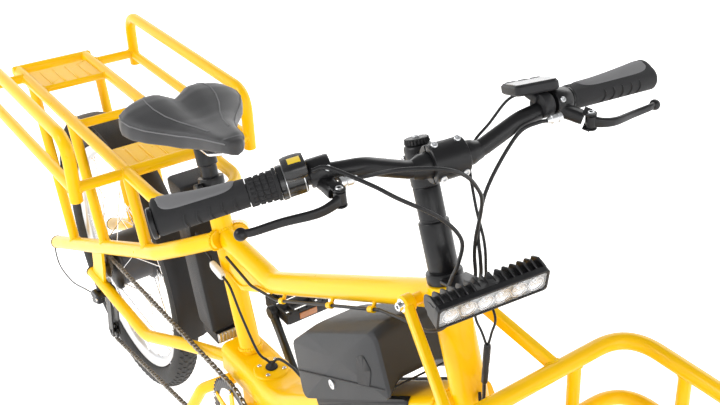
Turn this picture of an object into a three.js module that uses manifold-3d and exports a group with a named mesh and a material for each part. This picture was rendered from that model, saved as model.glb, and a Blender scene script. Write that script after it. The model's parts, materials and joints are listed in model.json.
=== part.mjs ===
// An electric cargo bicycle: long rear rack with side hoops, frame-mounted front rack, centre stand.
// Millimetres, +X forward, +Y to the rider's left, +Z up, ground at z = 0.
import * as THREE from "three";
import { mergeVertices } from "three/addons/utils/BufferGeometryUtils.js";
import Module from "manifold-3d";

const wasm = await Module();
wasm.setup();

// ---------- driving dimensions ----------
const GAP = 0.3; // left between pieces that touch
const WHEEL_RADIUS = 335;
const TYRE_WIDTH = 56;
const WHEEL_STEPS = 40; // flat facets round a tyre
const HUB_Z = WHEEL_RADIUS * Math.cos(Math.PI / WHEEL_STEPS); // a facet lies flat on the ground
const REAR_HUB_X = -1276;
const FRONT_HUB_X = 238;
const BAR_Z = 1117; // handlebar clamp above the ground, at x = 0
const HEAD_ANGLE = THREE.MathUtils.degToRad(71.7);
const STEM_REACH = 82; // steering axis behind the bar clamp, level with it
const STEER_REST = THREE.MathUtils.degToRad(-10); // the bars rest turned a little to the right
const BOTTOM_BRACKET = [-622, 302];
const CRANK_LENGTH = 170;
const CRANK_ANGLE = THREE.MathUtils.degToRad(125); // left crank, from +X towards +Z
const CHAIN_LINE = -57;
const CHAINRING_RADIUS = 87; // 44 teeth over the tips
const SPROCKET_RADIUS = 32; // 16 teeth over the tips
const RACK_TUBE = 12.6; // radius
const RACK_Z = 725;
const RACK_HALF = 82;
const RACK_REAR_X = -1620;
const HOOP_HALF = 187;
const HOOP_FRONT_X = -948;
const HOOP_REAR_X = -1563;
const HOOP_TOP_Z = 828;
const HOOP_LOW_Z = 721;
const BASKET_REAR_X = 107;
const BASKET_FRONT_X = 467;
const BASKET_HALF = 219;
const BASKET_TOP_Z = 818;
const BASKET_LOW_Z = 720;
const SEAT_SLOPE = 0.285; // x run of the seat tube for each unit of height
const SEAT_TUBE_TOP = 762;
const STAY_HALF = 75;
const TUBE_SIDES = 10;

// ---------- helpers ----------
const v3 = (x, y, z) => new THREE.Vector3(x, y, z);

/** A manifold solid of a closed three.js geometry. */
function solid(geometry) {
  const plain = geometry.index ? geometry.toNonIndexed() : geometry.clone();
  plain.deleteAttribute("normal");
  plain.deleteAttribute("uv");
  const merged = mergeVertices(plain, 1e-3);
  return new wasm.Manifold(
    new wasm.Mesh({
      numProp: 3,
      vertProperties: merged.attributes.position.array,
      triVerts: new Uint32Array(merged.index.array),
    }),
  );
}

/** The union of a list of solids. */
const join = (list) => list.reduce((sum, next) => sum.add(next));

/** A solid with each of the others taken away. */
const cut = (body, ...others) => others.reduce((rest, tool) => rest.subtract(tool), body);

/** A path of straight runs with a round bend at each inner corner. */
class BentPath extends THREE.Curve {
  constructor(corners, bend = 40, steps = 4) {
    super();
    this.stations = [corners[0].clone()];
    for (let i = 1; i < corners.length - 1; i++) {
      const into = corners[i].clone().sub(corners[i - 1]);
      const out = corners[i + 1].clone().sub(corners[i]);
      const half = into.angleTo(out) / 2;
      const room = Math.min(into.length(), out.length()) * 0.48;
      const trim = Math.min(bend * Math.tan(half), room);
      const start = corners[i].clone().addScaledVector(into.normalize(), -trim);
      const end = corners[i].clone().addScaledVector(out.normalize(), trim);
      const arc = new THREE.QuadraticBezierCurve3(start, corners[i], end);
      for (let k = 0; k <= steps; k++) this.stations.push(arc.getPoint(k / steps));
    }
    this.stations.push(corners[corners.length - 1].clone());
  }
  getPoint(t, target = new THREE.Vector3()) {
    const place = Math.min(Math.max(t, 0), 1) * (this.stations.length - 1);
    const low = Math.min(Math.floor(place), this.stations.length - 2);
    return target.lerpVectors(this.stations[low], this.stations[low + 1], place - low);
  }
  getPointAt(u, target) {
    return this.getPoint(u, target);
  }
  getTangentAt(u, target = new THREE.Vector3()) {
    const place = Math.round(u * (this.stations.length - 1));
    const before = this.stations[Math.max(place - 1, 0)];
    const after = this.stations[Math.min(place + 1, this.stations.length - 1)];
    return target.subVectors(after, before).normalize();
  }
}

/** A round section of a given radius and number of sides. */
function round(radius, sides = TUBE_SIDES) {
  const corners = Array.from({ length: sides }, (_, i) => (i / sides) * 2 * Math.PI);
  return new THREE.Shape(corners.map((a) => new THREE.Vector2(radius * Math.cos(a), radius * Math.sin(a))));
}

/** A rectangle with rounded corners, for box-section tubes and cases. */
function rounded(width, height, corner, steps = 3) {
  const [w, h] = [width / 2 - corner, height / 2 - corner];
  const centres = [[w, h], [-w, h], [-w, -h], [w, -h]];
  const points = centres.flatMap(([x, y], quarter) =>
    Array.from({ length: steps + 1 }, (_, i) => {
      const a = ((quarter + i / steps) * Math.PI) / 2;
      return new THREE.Vector2(x + corner * Math.cos(a), y + corner * Math.sin(a));
    }));
  return new THREE.Shape(points);
}

/** A section carried along a list of corners. */
function sweep(section, corners, bend = 40, steps = 4) {
  const path = new BentPath(corners.map((c) => v3(...c)), bend, steps);
  return solid(
    new THREE.ExtrudeGeometry(section, {
      steps: path.stations.length - 1,
      extrudePath: path,
      bevelEnabled: false,
    }),
  );
}

/** A round tube along corners; a larger radius is used to clear its neighbours. */
const tube = (corners, radius, bend = 40, steps = 4, sides = TUBE_SIDES) =>
  sweep(round(radius, sides), corners, bend, steps);

/** A solid turned about the axis that runs along Y through (x, z), from [radius, y] pairs. */
function turned(profile, x, z, steps = 24) {
  const geometry = new THREE.LatheGeometry(
    profile.map(([r, y]) => new THREE.Vector2(r, y)),
    steps,
  );
  geometry.rotateY(Math.PI / steps);
  geometry.translate(x, 0, z);
  return solid(geometry);
}

/** A solid turned about a line through a point, from [radius, distance along the line] pairs. */
function turnedAlong(profile, from, direction, steps = 20) {
  const geometry = new THREE.LatheGeometry(profile.map(([r, d]) => new THREE.Vector2(r, d)), steps);
  geometry.applyQuaternion(new THREE.Quaternion().setFromUnitVectors(v3(0, 1, 0), direction));
  geometry.translate(...from);
  return solid(geometry);
}

/** A solid turned about a vertical axis through (x, y), from [radius, height] pairs above z. */
function turnedUp(profile, x, y, z, steps = 24) {
  const geometry = new THREE.LatheGeometry(profile.map(([r, h]) => new THREE.Vector2(r, h)), steps);
  geometry.rotateX(Math.PI / 2);
  geometry.translate(x, y, z);
  return solid(geometry);
}

/** A box from its lowest corner to its highest. */
function block(low, high) {
  const size = high.map((h, i) => h - low[i]);
  const geometry = new THREE.BoxGeometry(...size);
  geometry.translate(...low.map((l, i) => l + size[i] / 2));
  return solid(geometry);
}

/** A side outline of [x, z] points, made solid from y = low to y = high. */
function plate(outline, low, high, bevel = 0) {
  const shape = new THREE.Shape(outline.map(([x, z]) => new THREE.Vector2(x, z)));
  const geometry = new THREE.ExtrudeGeometry(shape, {
    depth: high - low - 2 * bevel,
    bevelEnabled: bevel > 0,
    bevelThickness: bevel,
    bevelSize: bevel,
    bevelOffset: -bevel,
    bevelSegments: 1,
  });
  geometry.rotateX(Math.PI / 2);
  geometry.translate(0, high - bevel, 0);
  return solid(geometry);
}

/** A plan outline of [x, y] points, made solid from z = low to z = high. */
function slab(outline, low, high, bevel = 0, segments = 1) {
  const shape = new THREE.Shape(outline.map(([x, y]) => new THREE.Vector2(x, y)));
  const geometry = new THREE.ExtrudeGeometry(shape, {
    depth: high - low - 2 * bevel,
    bevelEnabled: bevel > 0,
    bevelThickness: bevel,
    bevelSize: bevel,
    bevelOffset: -bevel,
    bevelSegments: segments,
  });
  geometry.translate(0, 0, low + bevel);
  return solid(geometry);
}

/** A cylinder between two points. */
const rod = (from, to, radius, sides = 16) => sweep(round(radius, sides), [from, to]);

/** The same list of corners on the other side of the bicycle. */
const mirror = (corners) => corners.map(([x, y, z]) => [x, -y, z]);

const sides = [["right", -1], ["left", 1]];

// ---------- materials ----------
const finish = (color, roughness, metalness = 0) =>
  new THREE.MeshStandardMaterial({ color, roughness, metalness });
const paint = finish(0xffcc00, 0.25);
const blackPaint = finish(0x141416, 0.3, 0.4);
const blackPlastic = finish(0x1d1d20, 0.55);
const greyPlastic = finish(0x4a4a50, 0.5);
const rubber = finish(0x18181a, 0.85);
const steel = finish(0xb8babd, 0.3, 1);
const alloy = finish(0xcfd2d6, 0.35, 1);
const vinyl = finish(0x26262b, 0.6);

// ---------- the groups ----------
const bicycle = new THREE.Group();
const steering = new THREE.Group();
bicycle.add(steering);

/** Puts a solid into a group as a named mesh. */
function add(group, name, body, material) {
  const made = body.getMesh();
  const count = made.numVert;
  const position = new Float32Array(count * 3);
  for (let i = 0; i < count; i++)
    position.set(made.vertProperties.subarray(i * made.numProp, i * made.numProp + 3), i * 3);
  const geometry = new THREE.BufferGeometry();
  geometry.setAttribute("position", new THREE.BufferAttribute(position, 3));
  geometry.setIndex(new THREE.BufferAttribute(made.triVerts, 1));
  geometry.computeVertexNormals();
  const mesh = new THREE.Mesh(geometry, material);
  mesh.name = name;
  group.add(mesh);
}

/** A point on the steering axis, a distance down it from the bar clamp's height. */
const onAxis = (down) => [
  -STEM_REACH + down * Math.cos(HEAD_ANGLE),
  0,
  BAR_Z - down * Math.sin(HEAD_ANGLE),
];
const axisDown = v3(Math.cos(HEAD_ANGLE), 0, -Math.sin(HEAD_ANGLE));
/** A point on the seat tube's axis at a height. */
const onSeat = (z) => [-640 - SEAT_SLOPE * (z - 442), 0, z];

// ---------- main frame ----------
const HEAD_TOP = 200;
const HEAD_BOTTOM = 455;
const HEAD_RADIUS = 25;
const HEAD_BORE = 18;
const headOuter = (extra) => rod(onAxis(HEAD_TOP), onAxis(HEAD_BOTTOM), HEAD_RADIUS + extra, 20);
const headBore = rod(onAxis(HEAD_TOP - 5), onAxis(HEAD_BOTTOM + 5), HEAD_BORE, 20);
add(
  bicycle,
  "head_tube",
  turnedAlong(
    [[HEAD_BORE, HEAD_TOP], [HEAD_RADIUS, HEAD_TOP], [HEAD_RADIUS, HEAD_BOTTOM], [HEAD_BORE, HEAD_BOTTOM],
      [HEAD_BORE, HEAD_TOP]],
    onAxis(0), axisDown,
  ),
  paint,
);

const SEAT_RADIUS = 20;
const seatOuter = (extra) => rod(onSeat(430), onSeat(SEAT_TUBE_TOP), SEAT_RADIUS + extra, 16);
const seatBore = rod(onSeat(560), onSeat(SEAT_TUBE_TOP + 5), 16.4, 16);

const BEAM = [[43, 0, 750], [-480, 0, 411], [-690, 0, 405]];
const beamSolid = (extra) => sweep(rounded(78 + extra, 68 + extra, 14), BEAM, 160);
add(bicycle, "down_tube", cut(beamSolid(0), headOuter(GAP), headBore), paint);
add(bicycle, "seat_tube", cut(seatOuter(0), seatBore, beamSolid(GAP)), paint);

const TOP_TUBE = [[-13.5, 0, 910], [-512, 0, 661], [-690, 0, 668]];
const topTube = (extra) => tube(TOP_TUBE, 20 + extra, 90, 4, 16);
const gusset = plate([[-500, 650], [-628, 586], [-676, 600], [-690, 660]], -13, 13);
add(
  bicycle,
  "top_tube",
  cut(join([topTube(0), gusset]), headOuter(GAP), headBore, seatOuter(GAP), seatBore),
  paint,
);

const bracketShell = turned([[18, -35], [23, -35], [23, 35], [18, 35], [18, -35]], ...BOTTOM_BRACKET);
const bracketBore = turned([[0, -50], [18, -50], [18, 50], [0, 50]], ...BOTTOM_BRACKET);
const bracketWeb = block([-655, -26, 302], [-590, 26, 369]);
const standWeb = block([-745, -20, 338], [-650, 20, 369]);

const COVER_X = -558;
add(
  bicycle,
  "cable_cover_plate",
  cut(turnedUp([[0, 0], [34, 0], [34, 7], [31, 9], [0, 9]], COVER_X, 0, 438), beamSolid(GAP)),
  paint,
);

const MID_STAY = [[-685, 20, 674], [-760, 60, 635], [-860, STAY_HALF, 580], [-1600, STAY_HALF, 243]];
const CHAINSTAY = [[-1335, STAY_HALF, 288], [-1010, STAY_HALF, 288], [-860, 52, 345], [-690.5, 24, 402]];
const onSide = (corners, side) => (side < 0 ? mirror(corners) : corners);
const midStay = (side, extra) => tube(onSide(MID_STAY, side), 16.5 + extra, 90);
const chainStay = (side, extra) => tube(onSide(CHAINSTAY, side), 13 + extra, 120);
add(
  bicycle,
  "bottom_bracket_shell",
  cut(join([bracketShell, bracketWeb, standWeb]), bracketBore, beamSolid(GAP), chainStay(1, GAP), chainStay(-1, GAP)),
  paint,
);
// The two stays of a pair meet at y = 0, where each one is cut back.
const otherHalf = (side) =>
  side < 0 ? block([-1700, 0, 200], [-600, 200, 800]) : block([-1700, -200, 200], [-600, GAP, 800]);
for (const [word, side] of sides) {
  add(bicycle, "mid_stay_" + word,
    cut(midStay(side, 0), seatOuter(GAP), seatBore, topTube(GAP), otherHalf(side)), paint);
}

const DROPOUT = [[-1318, 300], [-1250, 300], [-1238, 345], [-1228, 396], [-1300, 366], [-1306, 330]];
const DROPOUT_WITH_HANGER = [[-1318, 300], [-1304, 252], [-1280, 252], [-1262, 300], ...DROPOUT.slice(1)];
for (const [word, side] of sides) {
  const [low, high] = side < 0 ? [-78, -71] : [71, 78];
  const axleSlot = turned([[0, low - 1], [6.5, low - 1], [6.5, high + 1], [0, high + 1]], REAR_HUB_X, HUB_Z, 12);
  add(bicycle, "chainstay_" + word,
    cut(join([chainStay(side, 0), plate(side < 0 ? DROPOUT_WITH_HANGER : DROPOUT, low, high)]),
      midStay(side, GAP), beamSolid(GAP), otherHalf(side), axleSlot),
    paint);
}

// ---------- rear rack ----------
const LOOP_FRONT_X = -757;
const PLATFORM = [
  [RACK_REAR_X, RACK_HALF, RACK_Z], [LOOP_FRONT_X, RACK_HALF, RACK_Z],
  [LOOP_FRONT_X, -RACK_HALF, RACK_Z], [RACK_REAR_X, -RACK_HALF, RACK_Z],
];
const platformLoop = (extra) => tube(PLATFORM, RACK_TUBE + extra, 78, 5);
const crossTube = (x, half, radius = RACK_TUBE) =>
  tube([[x, -half, RACK_Z], [x, half, RACK_Z]], radius);
const rackPlates = (extra) =>
  join([[-1585, -1464], [-1060, HOOP_FRONT_X]].map(([rear, front]) =>
    block([rear - extra, -70 - extra, RACK_Z - 1 - extra], [front, 70 + extra, RACK_Z + 3 + extra])));
add(
  bicycle,
  "rack_platform",
  join([
    platformLoop(0),
    crossTube(RACK_REAR_X, RACK_HALF + 14),
    crossTube(-1227, RACK_HALF, 10),
    crossTube(HOOP_FRONT_X, RACK_HALF),
    crossTube(-1466, RACK_HALF, 8),
    rackPlates(0),
  ]),
  paint,
);

const HOOP = [
  [HOOP_REAR_X, HOOP_HALF, 696], [HOOP_REAR_X, HOOP_HALF, HOOP_TOP_Z],
  [HOOP_FRONT_X, HOOP_HALF, HOOP_TOP_Z], [HOOP_FRONT_X, HOOP_HALF, 696],
];
for (const [word, side] of sides) {
  const rail = [[HOOP_REAR_X, HOOP_HALF, HOOP_LOW_Z], [HOOP_FRONT_X, HOOP_HALF, HOOP_LOW_Z]];
  const arm = (x) => [[x, RACK_HALF, RACK_Z], [x, HOOP_HALF, RACK_Z]];
  add(bicycle, "side_hoop_" + word,
    cut(
      join([
        tube(onSide(HOOP, side), RACK_TUBE, 50, 3),
        tube(onSide(rail, side), 11, 40, 4, 8),
        tube(onSide(arm(HOOP_FRONT_X), side), 11, 40, 4, 8),
        tube(onSide(arm(HOOP_REAR_X), side), 11, 40, 4, 8),
      ]),
      platformLoop(GAP),
    ), paint);
}

const UPRIGHTS = { rear: [-1432, -1530], mid: [-1192, -1269], front: [-918, -958] };
for (const [place, [footX, topX]] of Object.entries(UPRIGHTS))
  for (const [word, side] of sides) {
    const footZ = 580 - 0.4554 * (-860 - footX);
    const corners = [[footX, STAY_HALF, footZ], [topX, RACK_HALF - 3, RACK_Z]];
    add(bicycle, "rack_upright_" + place + "_" + word,
      cut(tube(onSide(corners, side), 11.5), midStay(side, GAP), platformLoop(GAP), rackPlates(GAP),
        crossTube(HOOP_FRONT_X, RACK_HALF, RACK_TUBE + GAP),
        tube(onSide([[HOOP_FRONT_X, RACK_HALF, RACK_Z], [HOOP_FRONT_X, HOOP_HALF, RACK_Z]], side), 11 + GAP)),
      paint);
  }

// ---------- front rack ----------
/** A level ring with rounded corners, made of two halves that meet at x = middle. */
function ring(z, radius, bend) {
  const middle = (BASKET_REAR_X + BASKET_FRONT_X) / 2;
  const half = (endX) =>
    tube([[middle, -BASKET_HALF, z], [endX, -BASKET_HALF, z], [endX, BASKET_HALF, z], [middle, BASKET_HALF, z]],
      radius, bend, 3);
  return join([half(BASKET_REAR_X), half(BASKET_FRONT_X)]);
}
const upperRing = (extra) => ring(BASKET_TOP_Z, 12 + extra, 60);
add(bicycle, "front_rack_upper_ring", upperRing(0), paint);

const POSTS = [[BASKET_REAR_X, 119], [213, BASKET_HALF], [370, BASKET_HALF], [BASKET_FRONT_X, 119]];
const posts = POSTS.flatMap(([x, y]) => [y, -y].map((at) =>
  tube([[x, at, BASKET_LOW_Z], [x, at, BASKET_TOP_Z]], 9.5, 40, 4, 8)));
const slats = [-120, -40, 40, 120].map((y) =>
  block([BASKET_REAR_X, y - 11, BASKET_LOW_Z + 1], [BASKET_FRONT_X, y + 11, BASKET_LOW_Z + 7]));
const rackTongue = block([60, -16, BASKET_LOW_Z - 5], [BASKET_REAR_X, 16, BASKET_LOW_Z + 5]);
add(
  bicycle,
  "front_rack_lower_ring",
  cut(join([ring(BASKET_LOW_Z, 10.5, 60), ...posts, ...slats, rackTongue]), upperRing(GAP), headOuter(GAP), headBore),
  paint,
);
const STRUT = [[-51, 41, 892], [BASKET_REAR_X, 89, BASKET_TOP_Z]];
for (const [word, side] of sides) {
  const boss = rod([-51, 0, 892], [-51, side * 50, 892], 9);
  add(bicycle, "front_rack_strut_" + word,
    cut(join([sweep(rounded(19, 13, 4), onSide(STRUT, side)), boss]),
      topTube(GAP), upperRing(GAP), headOuter(GAP), headBore), paint);
}

// ---------- batteries ----------
const CASE_SIDE = [[-325, 557], [-350, 660], [-302, 706], [-114, 815], [-98, 812], [-64, 726]];
const CASE_CROWN = [[-325, 600], [-340, 672], [-296, 722], [-122, 824], [-106, 819], [-90, 760]];
add(
  bicycle,
  "front_battery",
  cut(join([plate(CASE_SIDE, -62, 62, 6), plate(CASE_CROWN, -40, 40, 5)]), beamSolid(GAP * 2)),
  greyPlastic,
);
const BOX_SLOPE = 0.245;
const boxX = (z) => -781 - BOX_SLOPE * (z - 412);
const boxOutline = (low, high, back, front) => [
  [boxX(low) + back, low], [boxX(low) + front, low], [boxX(high) + front, high], [boxX(high) + back, high],
];
add(
  bicycle,
  "rear_battery",
  join([plate(boxOutline(440, 740, 0, 66), -38, 38, 5), plate(boxOutline(418, 441, 2, 64), -32, 32)]),
  blackPlastic,
);

// ---------- transmission fixed to the frame ----------
/** Points along an arc about (x, z), from one angle to another in degrees. */
function arc([x, z], radius, from, to, steps) {
  return Array.from({ length: steps + 1 }, (_, i) => {
    const a = THREE.MathUtils.degToRad(from + ((to - from) * i) / steps);
    return [x + radius * Math.cos(a), z + radius * Math.sin(a)];
  });
}
const LOWER_PULLEY = [-1296, 128];
const chainOutline = (extra) => [
  ...arc(BOTTOM_BRACKET, CHAINRING_RADIUS + 1.5 + extra, -80, 92, 14),
  ...arc([REAR_HUB_X, HUB_Z], SPROCKET_RADIUS + 1.5 + extra, 92, 175, 6),
  ...arc(LOWER_PULLEY, 22 + extra, 180, 280, 5),
];
const chain = cut(
  plate(chainOutline(8), CHAIN_LINE - 4, CHAIN_LINE + 4),
  plate(chainOutline(0), CHAIN_LINE - 5, CHAIN_LINE + 5),
);
add(bicycle, "chain", chain, steel);

const UPPER_PULLEY = [-1268, 262];
const pulley = (at) => turned([[0, -60], [18, -60], [18, -54], [0, -54]], at[0], at[1], 14);
const cage = (low, high) =>
  plate([[-1256, 258], [-1260, 268], [-1274, 270], [-1308, 128], [-1300, 116], [-1286, 118]], low, high);
add(
  bicycle,
  "rear_derailleur",
  join([
    pulley(UPPER_PULLEY),
    pulley(LOWER_PULLEY),
    rod([-1296, -50, 128], [-1296, -70, 128], 5, 10),
    rod([-1268, -50, 262], [-1268, -69, 262], 6, 10),
    cage(-69, -65),
    plate([[-1262, 240], [-1304, 222], [-1312, 248], [-1296, 262], [-1262, 262]], -96, -79),
    rod([-1272, -88, 250], [-1268, -62, 262], 6, 10),
  ]),
  blackPaint,
);

// ---------- mudguard ----------
const guardOuter = arc([REAR_HUB_X, HUB_Z], 356, -6, 165, 20);
const guardInner = arc([REAR_HUB_X, HUB_Z], 352, 165, -6, 20);
add(bicycle, "rear_mudguard", plate([...guardOuter, ...guardInner], -32, 32), blackPlastic);

// ---------- seat clamp, post and saddle ----------
const clampBody = cut(
  rod(onSeat(SEAT_TUBE_TOP + 0.5), onSeat(SEAT_TUBE_TOP + 18), 24, 20),
  rod(onSeat(SEAT_TUBE_TOP - 5), onSeat(SEAT_TUBE_TOP + 25), 16.2, 20),
);
add(bicycle, "seat_clamp", clampBody, blackPaint);
const [clampX, , clampZ] = onSeat(SEAT_TUBE_TOP + 9);
const quickLever = join([
  rod([clampX + 10, -24.4, clampZ], [clampX + 10, -38, clampZ], 7, 12),
  block([clampX + 6, -38, clampZ - 4], [clampX + 52, -33, clampZ + 4]),
]);
add(bicycle, "seat_quick_lever", quickLever, blackPaint);

const POST_TOP = 846;
const post = join([
  rod(onSeat(590), onSeat(POST_TOP), 15.6, 20),
  rod(onSeat(SEAT_TUBE_TOP + 40), onSeat(POST_TOP), 19, 20),
  block([onSeat(POST_TOP)[0] - 24, -20, POST_TOP - 6], [onSeat(POST_TOP)[0] + 24, 20, POST_TOP + 6]),
]);
add(bicycle, "seat_post", post, blackPaint);
const SADDLE_MIDDLE = -735;
const saddlePlan = [
  [128, 0], [124, 14], [100, 25], [50, 35], [5, 57], [-42, 98], [-85, 118], [-125, 112], [-150, 85], [-152, 45],
  [-138, 0],
];
const saddleOutline = [...saddlePlan, ...saddlePlan.slice(1, -1).reverse().map(([x, y]) => [x, -y])]
  .map(([x, y]) => [x + SADDLE_MIDDLE, y]);
add(bicycle, "saddle", slab(saddleOutline, POST_TOP + 6.5, 906, 14, 2), vinyl);

// ---------- wheels ----------
/** The tyre's solid about a hub. */
function tyre(x) {
  const [half, outer, inner] = [TYRE_WIDTH / 2, WHEEL_RADIUS, WHEEL_RADIUS - 54];
  return turned(
    [
      [inner, -13], [inner + 22, -half], [outer - 13, -half], [outer, -half * 0.4],
      [outer, half * 0.4], [outer - 13, half], [inner + 22, half], [inner, 13], [inner, -13],
    ],
    x, HUB_Z, WHEEL_STEPS,
  );
}
const SPOKES = 12;
/** Rim, spokes and hub of a wheel, as one solid about its axle. */
function wheel(x, hubRadius, hubHalf, axleHalf) {
  const outer = WHEEL_RADIUS - 54 - 1.2;
  const rim = turned(
    [[outer - 20, -8], [outer, -13], [outer, 13], [outer - 20, 8], [outer - 20, -8]],
    x, HUB_Z, WHEEL_STEPS,
  );
  const hub = turned(
    [
      [0, -axleHalf], [6, -axleHalf], [6, -hubHalf], [hubRadius, -hubHalf + 5], [hubRadius, hubHalf - 5],
      [6, hubHalf], [6, axleHalf], [0, axleHalf],
    ],
    x, HUB_Z, 20,
  );
  const disc = turned(
    [[0, hubHalf + 1], [80, hubHalf + 1], [80, hubHalf + 3], [0, hubHalf + 3]],
    x, HUB_Z, 24,
  );
  const boss = turned([[0, hubHalf - 4], [20, hubHalf - 4], [20, hubHalf + 2], [0, hubHalf + 2]], x, HUB_Z, 12);
  const spokes = Array.from({ length: SPOKES }, (_, i) => {
    const a = (i / SPOKES) * 2 * Math.PI;
    const y = (i % 2 ? 1 : -1) * (hubHalf - 9);
    const at = (r, side) => [x + r * Math.cos(a), side, HUB_Z + r * Math.sin(a)];
    return rod(at(hubRadius - 3, y), at(outer - 18, 0), 2.2, 4);
  });
  return join([rim, hub, disc, boss, ...spokes]);
}
add(bicycle, "rear_tyre", tyre(REAR_HUB_X), rubber);
add(bicycle, "rear_wheel", wheel(REAR_HUB_X, 68, 46, 70.5), alloy);
add(
  bicycle,
  "rear_sprocket",
  turned(
    [[6.6, CHAIN_LINE - 3], [SPROCKET_RADIUS, CHAIN_LINE - 1.5], [SPROCKET_RADIUS, CHAIN_LINE + 1.5],
      [30, CHAIN_LINE + 9], [6.6, CHAIN_LINE + 9], [6.6, CHAIN_LINE - 3]],
    REAR_HUB_X, HUB_Z, 24,
  ),
  steel,
);
add(
  bicycle,
  "rear_brake_caliper",
  block([REAR_HUB_X + 59, 42, HUB_Z - 30], [REAR_HUB_X + 94, 60.5, HUB_Z + 6])
    .subtract(block([REAR_HUB_X + 20, 46, HUB_Z - 40], [REAR_HUB_X + 83, 50, HUB_Z + 40])),
  blackPaint,
);

// ---------- cranks and pedals ----------
const pedalAt = (side) => {
  const a = side > 0 ? CRANK_ANGLE : CRANK_ANGLE + Math.PI;
  return [BOTTOM_BRACKET[0] + CRANK_LENGTH * Math.cos(a), BOTTOM_BRACKET[1] + CRANK_LENGTH * Math.sin(a)];
};
const crankArm = (side) => {
  const [px, pz] = pedalAt(side);
  const y = side * 91;
  return join([
    sweep(rounded(14, 28, 4, 2), [[BOTTOM_BRACKET[0], y, BOTTOM_BRACKET[1]], [px, y, pz]]),
    turned([[0, y - 8], [17, y - 8], [17, y + 8], [0, y + 8]], ...BOTTOM_BRACKET, 16),
    turned([[0, y - 7], [14, y - 7], [14, y + 7], [0, y + 7]], px, pz, 14),
  ]);
};
const chainring = turned(
  [[0, CHAIN_LINE - 1.5], [CHAINRING_RADIUS, CHAIN_LINE - 1.5], [CHAINRING_RADIUS, CHAIN_LINE + 1.5], [0, CHAIN_LINE + 1.5]],
  ...BOTTOM_BRACKET, 36,
);
const axle = turned([[0, -90], [10, -90], [10, 90], [0, 90]], ...BOTTOM_BRACKET, 14);
add(bicycle, "crankset", join([crankArm(-1), crankArm(1), chainring, axle]), blackPaint);
for (const [word, side] of sides) {
  const [x, z] = pedalAt(side);
  const [near, far] = [98.6, 198].map((y) => y * side);
  const [low, high] = [Math.min(near, far), Math.max(near, far)];
  const frame = [[x - 44, z - 12], [x + 44, z - 12], [x + 48, z], [x + 44, z + 12], [x - 44, z + 12], [x - 48, z]];
  add(bicycle, "pedal_" + word, plate(frame, low, high), blackPlastic);
}

// ---------- centre stand ----------
const STAND_PIVOT = [-722, 322];
const standLeg = [
  [STAND_PIVOT[0], 0, STAND_PIVOT[1]], [-734, 26, 314], [-776, 56, 282], [-812, 65, 222], [-850, 96, 120],
  [-864, 150, 12],
];
const standFoot = (side) => block([-882, side * 152 - 20, 0], [-846, side * 152 + 20, 10]);
const stand = join([
  tube(standLeg, 12, 30, 2, 8),
  tube(mirror(standLeg), 12, 30, 2, 8),
  rod([STAND_PIVOT[0], -20, STAND_PIVOT[1]], [STAND_PIVOT[0], 20, STAND_PIVOT[1]], 12.5, 12),
  standFoot(1),
  standFoot(-1),
]);
add(bicycle, "centre_stand", stand, paint);

// ---------- steering: fork, column, stem, bar ----------
const axisAt = (down, ahead, y = 0) => {
  const [x, , z] = onAxis(down);
  return [x + ahead * Math.sin(HEAD_ANGLE), y, z + ahead * Math.cos(HEAD_ANGLE)];
};
const FORK_Y = 68;
const LEG_AHEAD = 46;
const leg = (y, extra = 0) => tube([axisAt(462, LEG_AHEAD, y), axisAt(818, LEG_AHEAD, y)], 15.5 + extra, 40, 4, 12);
const tab = (side) => {
  const [low, high] = side < 0 ? [-60, -53.5] : [53.5, 60];
  return plate([[185, 400], [215, 400], [250, 350], [250, 318], [226, 316], [205, 330]], low, high);
};
const axleRoom = turned([[0, -100], [7, -100], [7, 100], [0, 100]], FRONT_HUB_X, HUB_Z, 12);
add(
  steering,
  "fork",
  cut(
    join([
      rod(axisAt(190, 0), axisAt(486, 0), 14, 16),
      rod(axisAt(HEAD_BOTTOM + 0.5, 0), axisAt(464, 0), 27, 20),
      sweep(rounded(2 * FORK_Y + 30, 24, 8), [axisAt(474, -16), axisAt(474, LEG_AHEAD + 15)]),
      leg(FORK_Y),
      leg(-FORK_Y),
      tab(1),
      tab(-1),
    ]),
    axleRoom,
  ),
  blackPaint,
);
add(
  steering,
  "front_brake_caliper",
  block([206, 36, HUB_Z + 70], [240, 62, HUB_Z + 98])
    .subtract(block([200, 40, HUB_Z + 40], [260, 44, HUB_Z + 84]))
    .subtract(leg(FORK_Y, 0.5)),
  blackPaint,
);
add(
  steering,
  "steering_column",
  turnedAlong(
    [
      [0, 68.5], [18, 68.5], [18, 114], [20.5, 114], [20.5, 184], [25, 184], [25, 199.5],
      [14.4, 199.5], [14.4, 189.5], [0, 189.5],
    ],
    onAxis(0), axisDown,
  ),
  blackPaint,
);
const barBore = rod([0, -40, BAR_Z], [0, 40, BAR_Z], 16.2, 20);
add(
  steering,
  "stem",
  cut(
    join([
      rod(axisAt(16, 0), axisAt(68, 0), 19, 20),
      sweep(rounded(34, 32, 8), [axisAt(42, 0), [0, 0, BAR_Z]]),
      rod([0, -24, BAR_Z], [0, 24, BAR_Z], 24, 20),
    ]),
    barBore,
  ),
  blackPaint,
);
const BAR = [
  [-40, -331, BAR_Z + 7], [-14, -180, BAR_Z + 26], [-2, -105, BAR_Z + 23], [0, -46, BAR_Z],
  [0, 46, BAR_Z], [-2, 105, BAR_Z + 23], [-14, 180, BAR_Z + 26], [-40, 331, BAR_Z + 7],
];
const bar = (extra) => tube(BAR, 11.1 + extra, 60, 2);
add(steering, "handlebar", join([bar(0), rod([0, -34, BAR_Z], [0, 34, BAR_Z], 15.9, 20)]), blackPaint);

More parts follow.
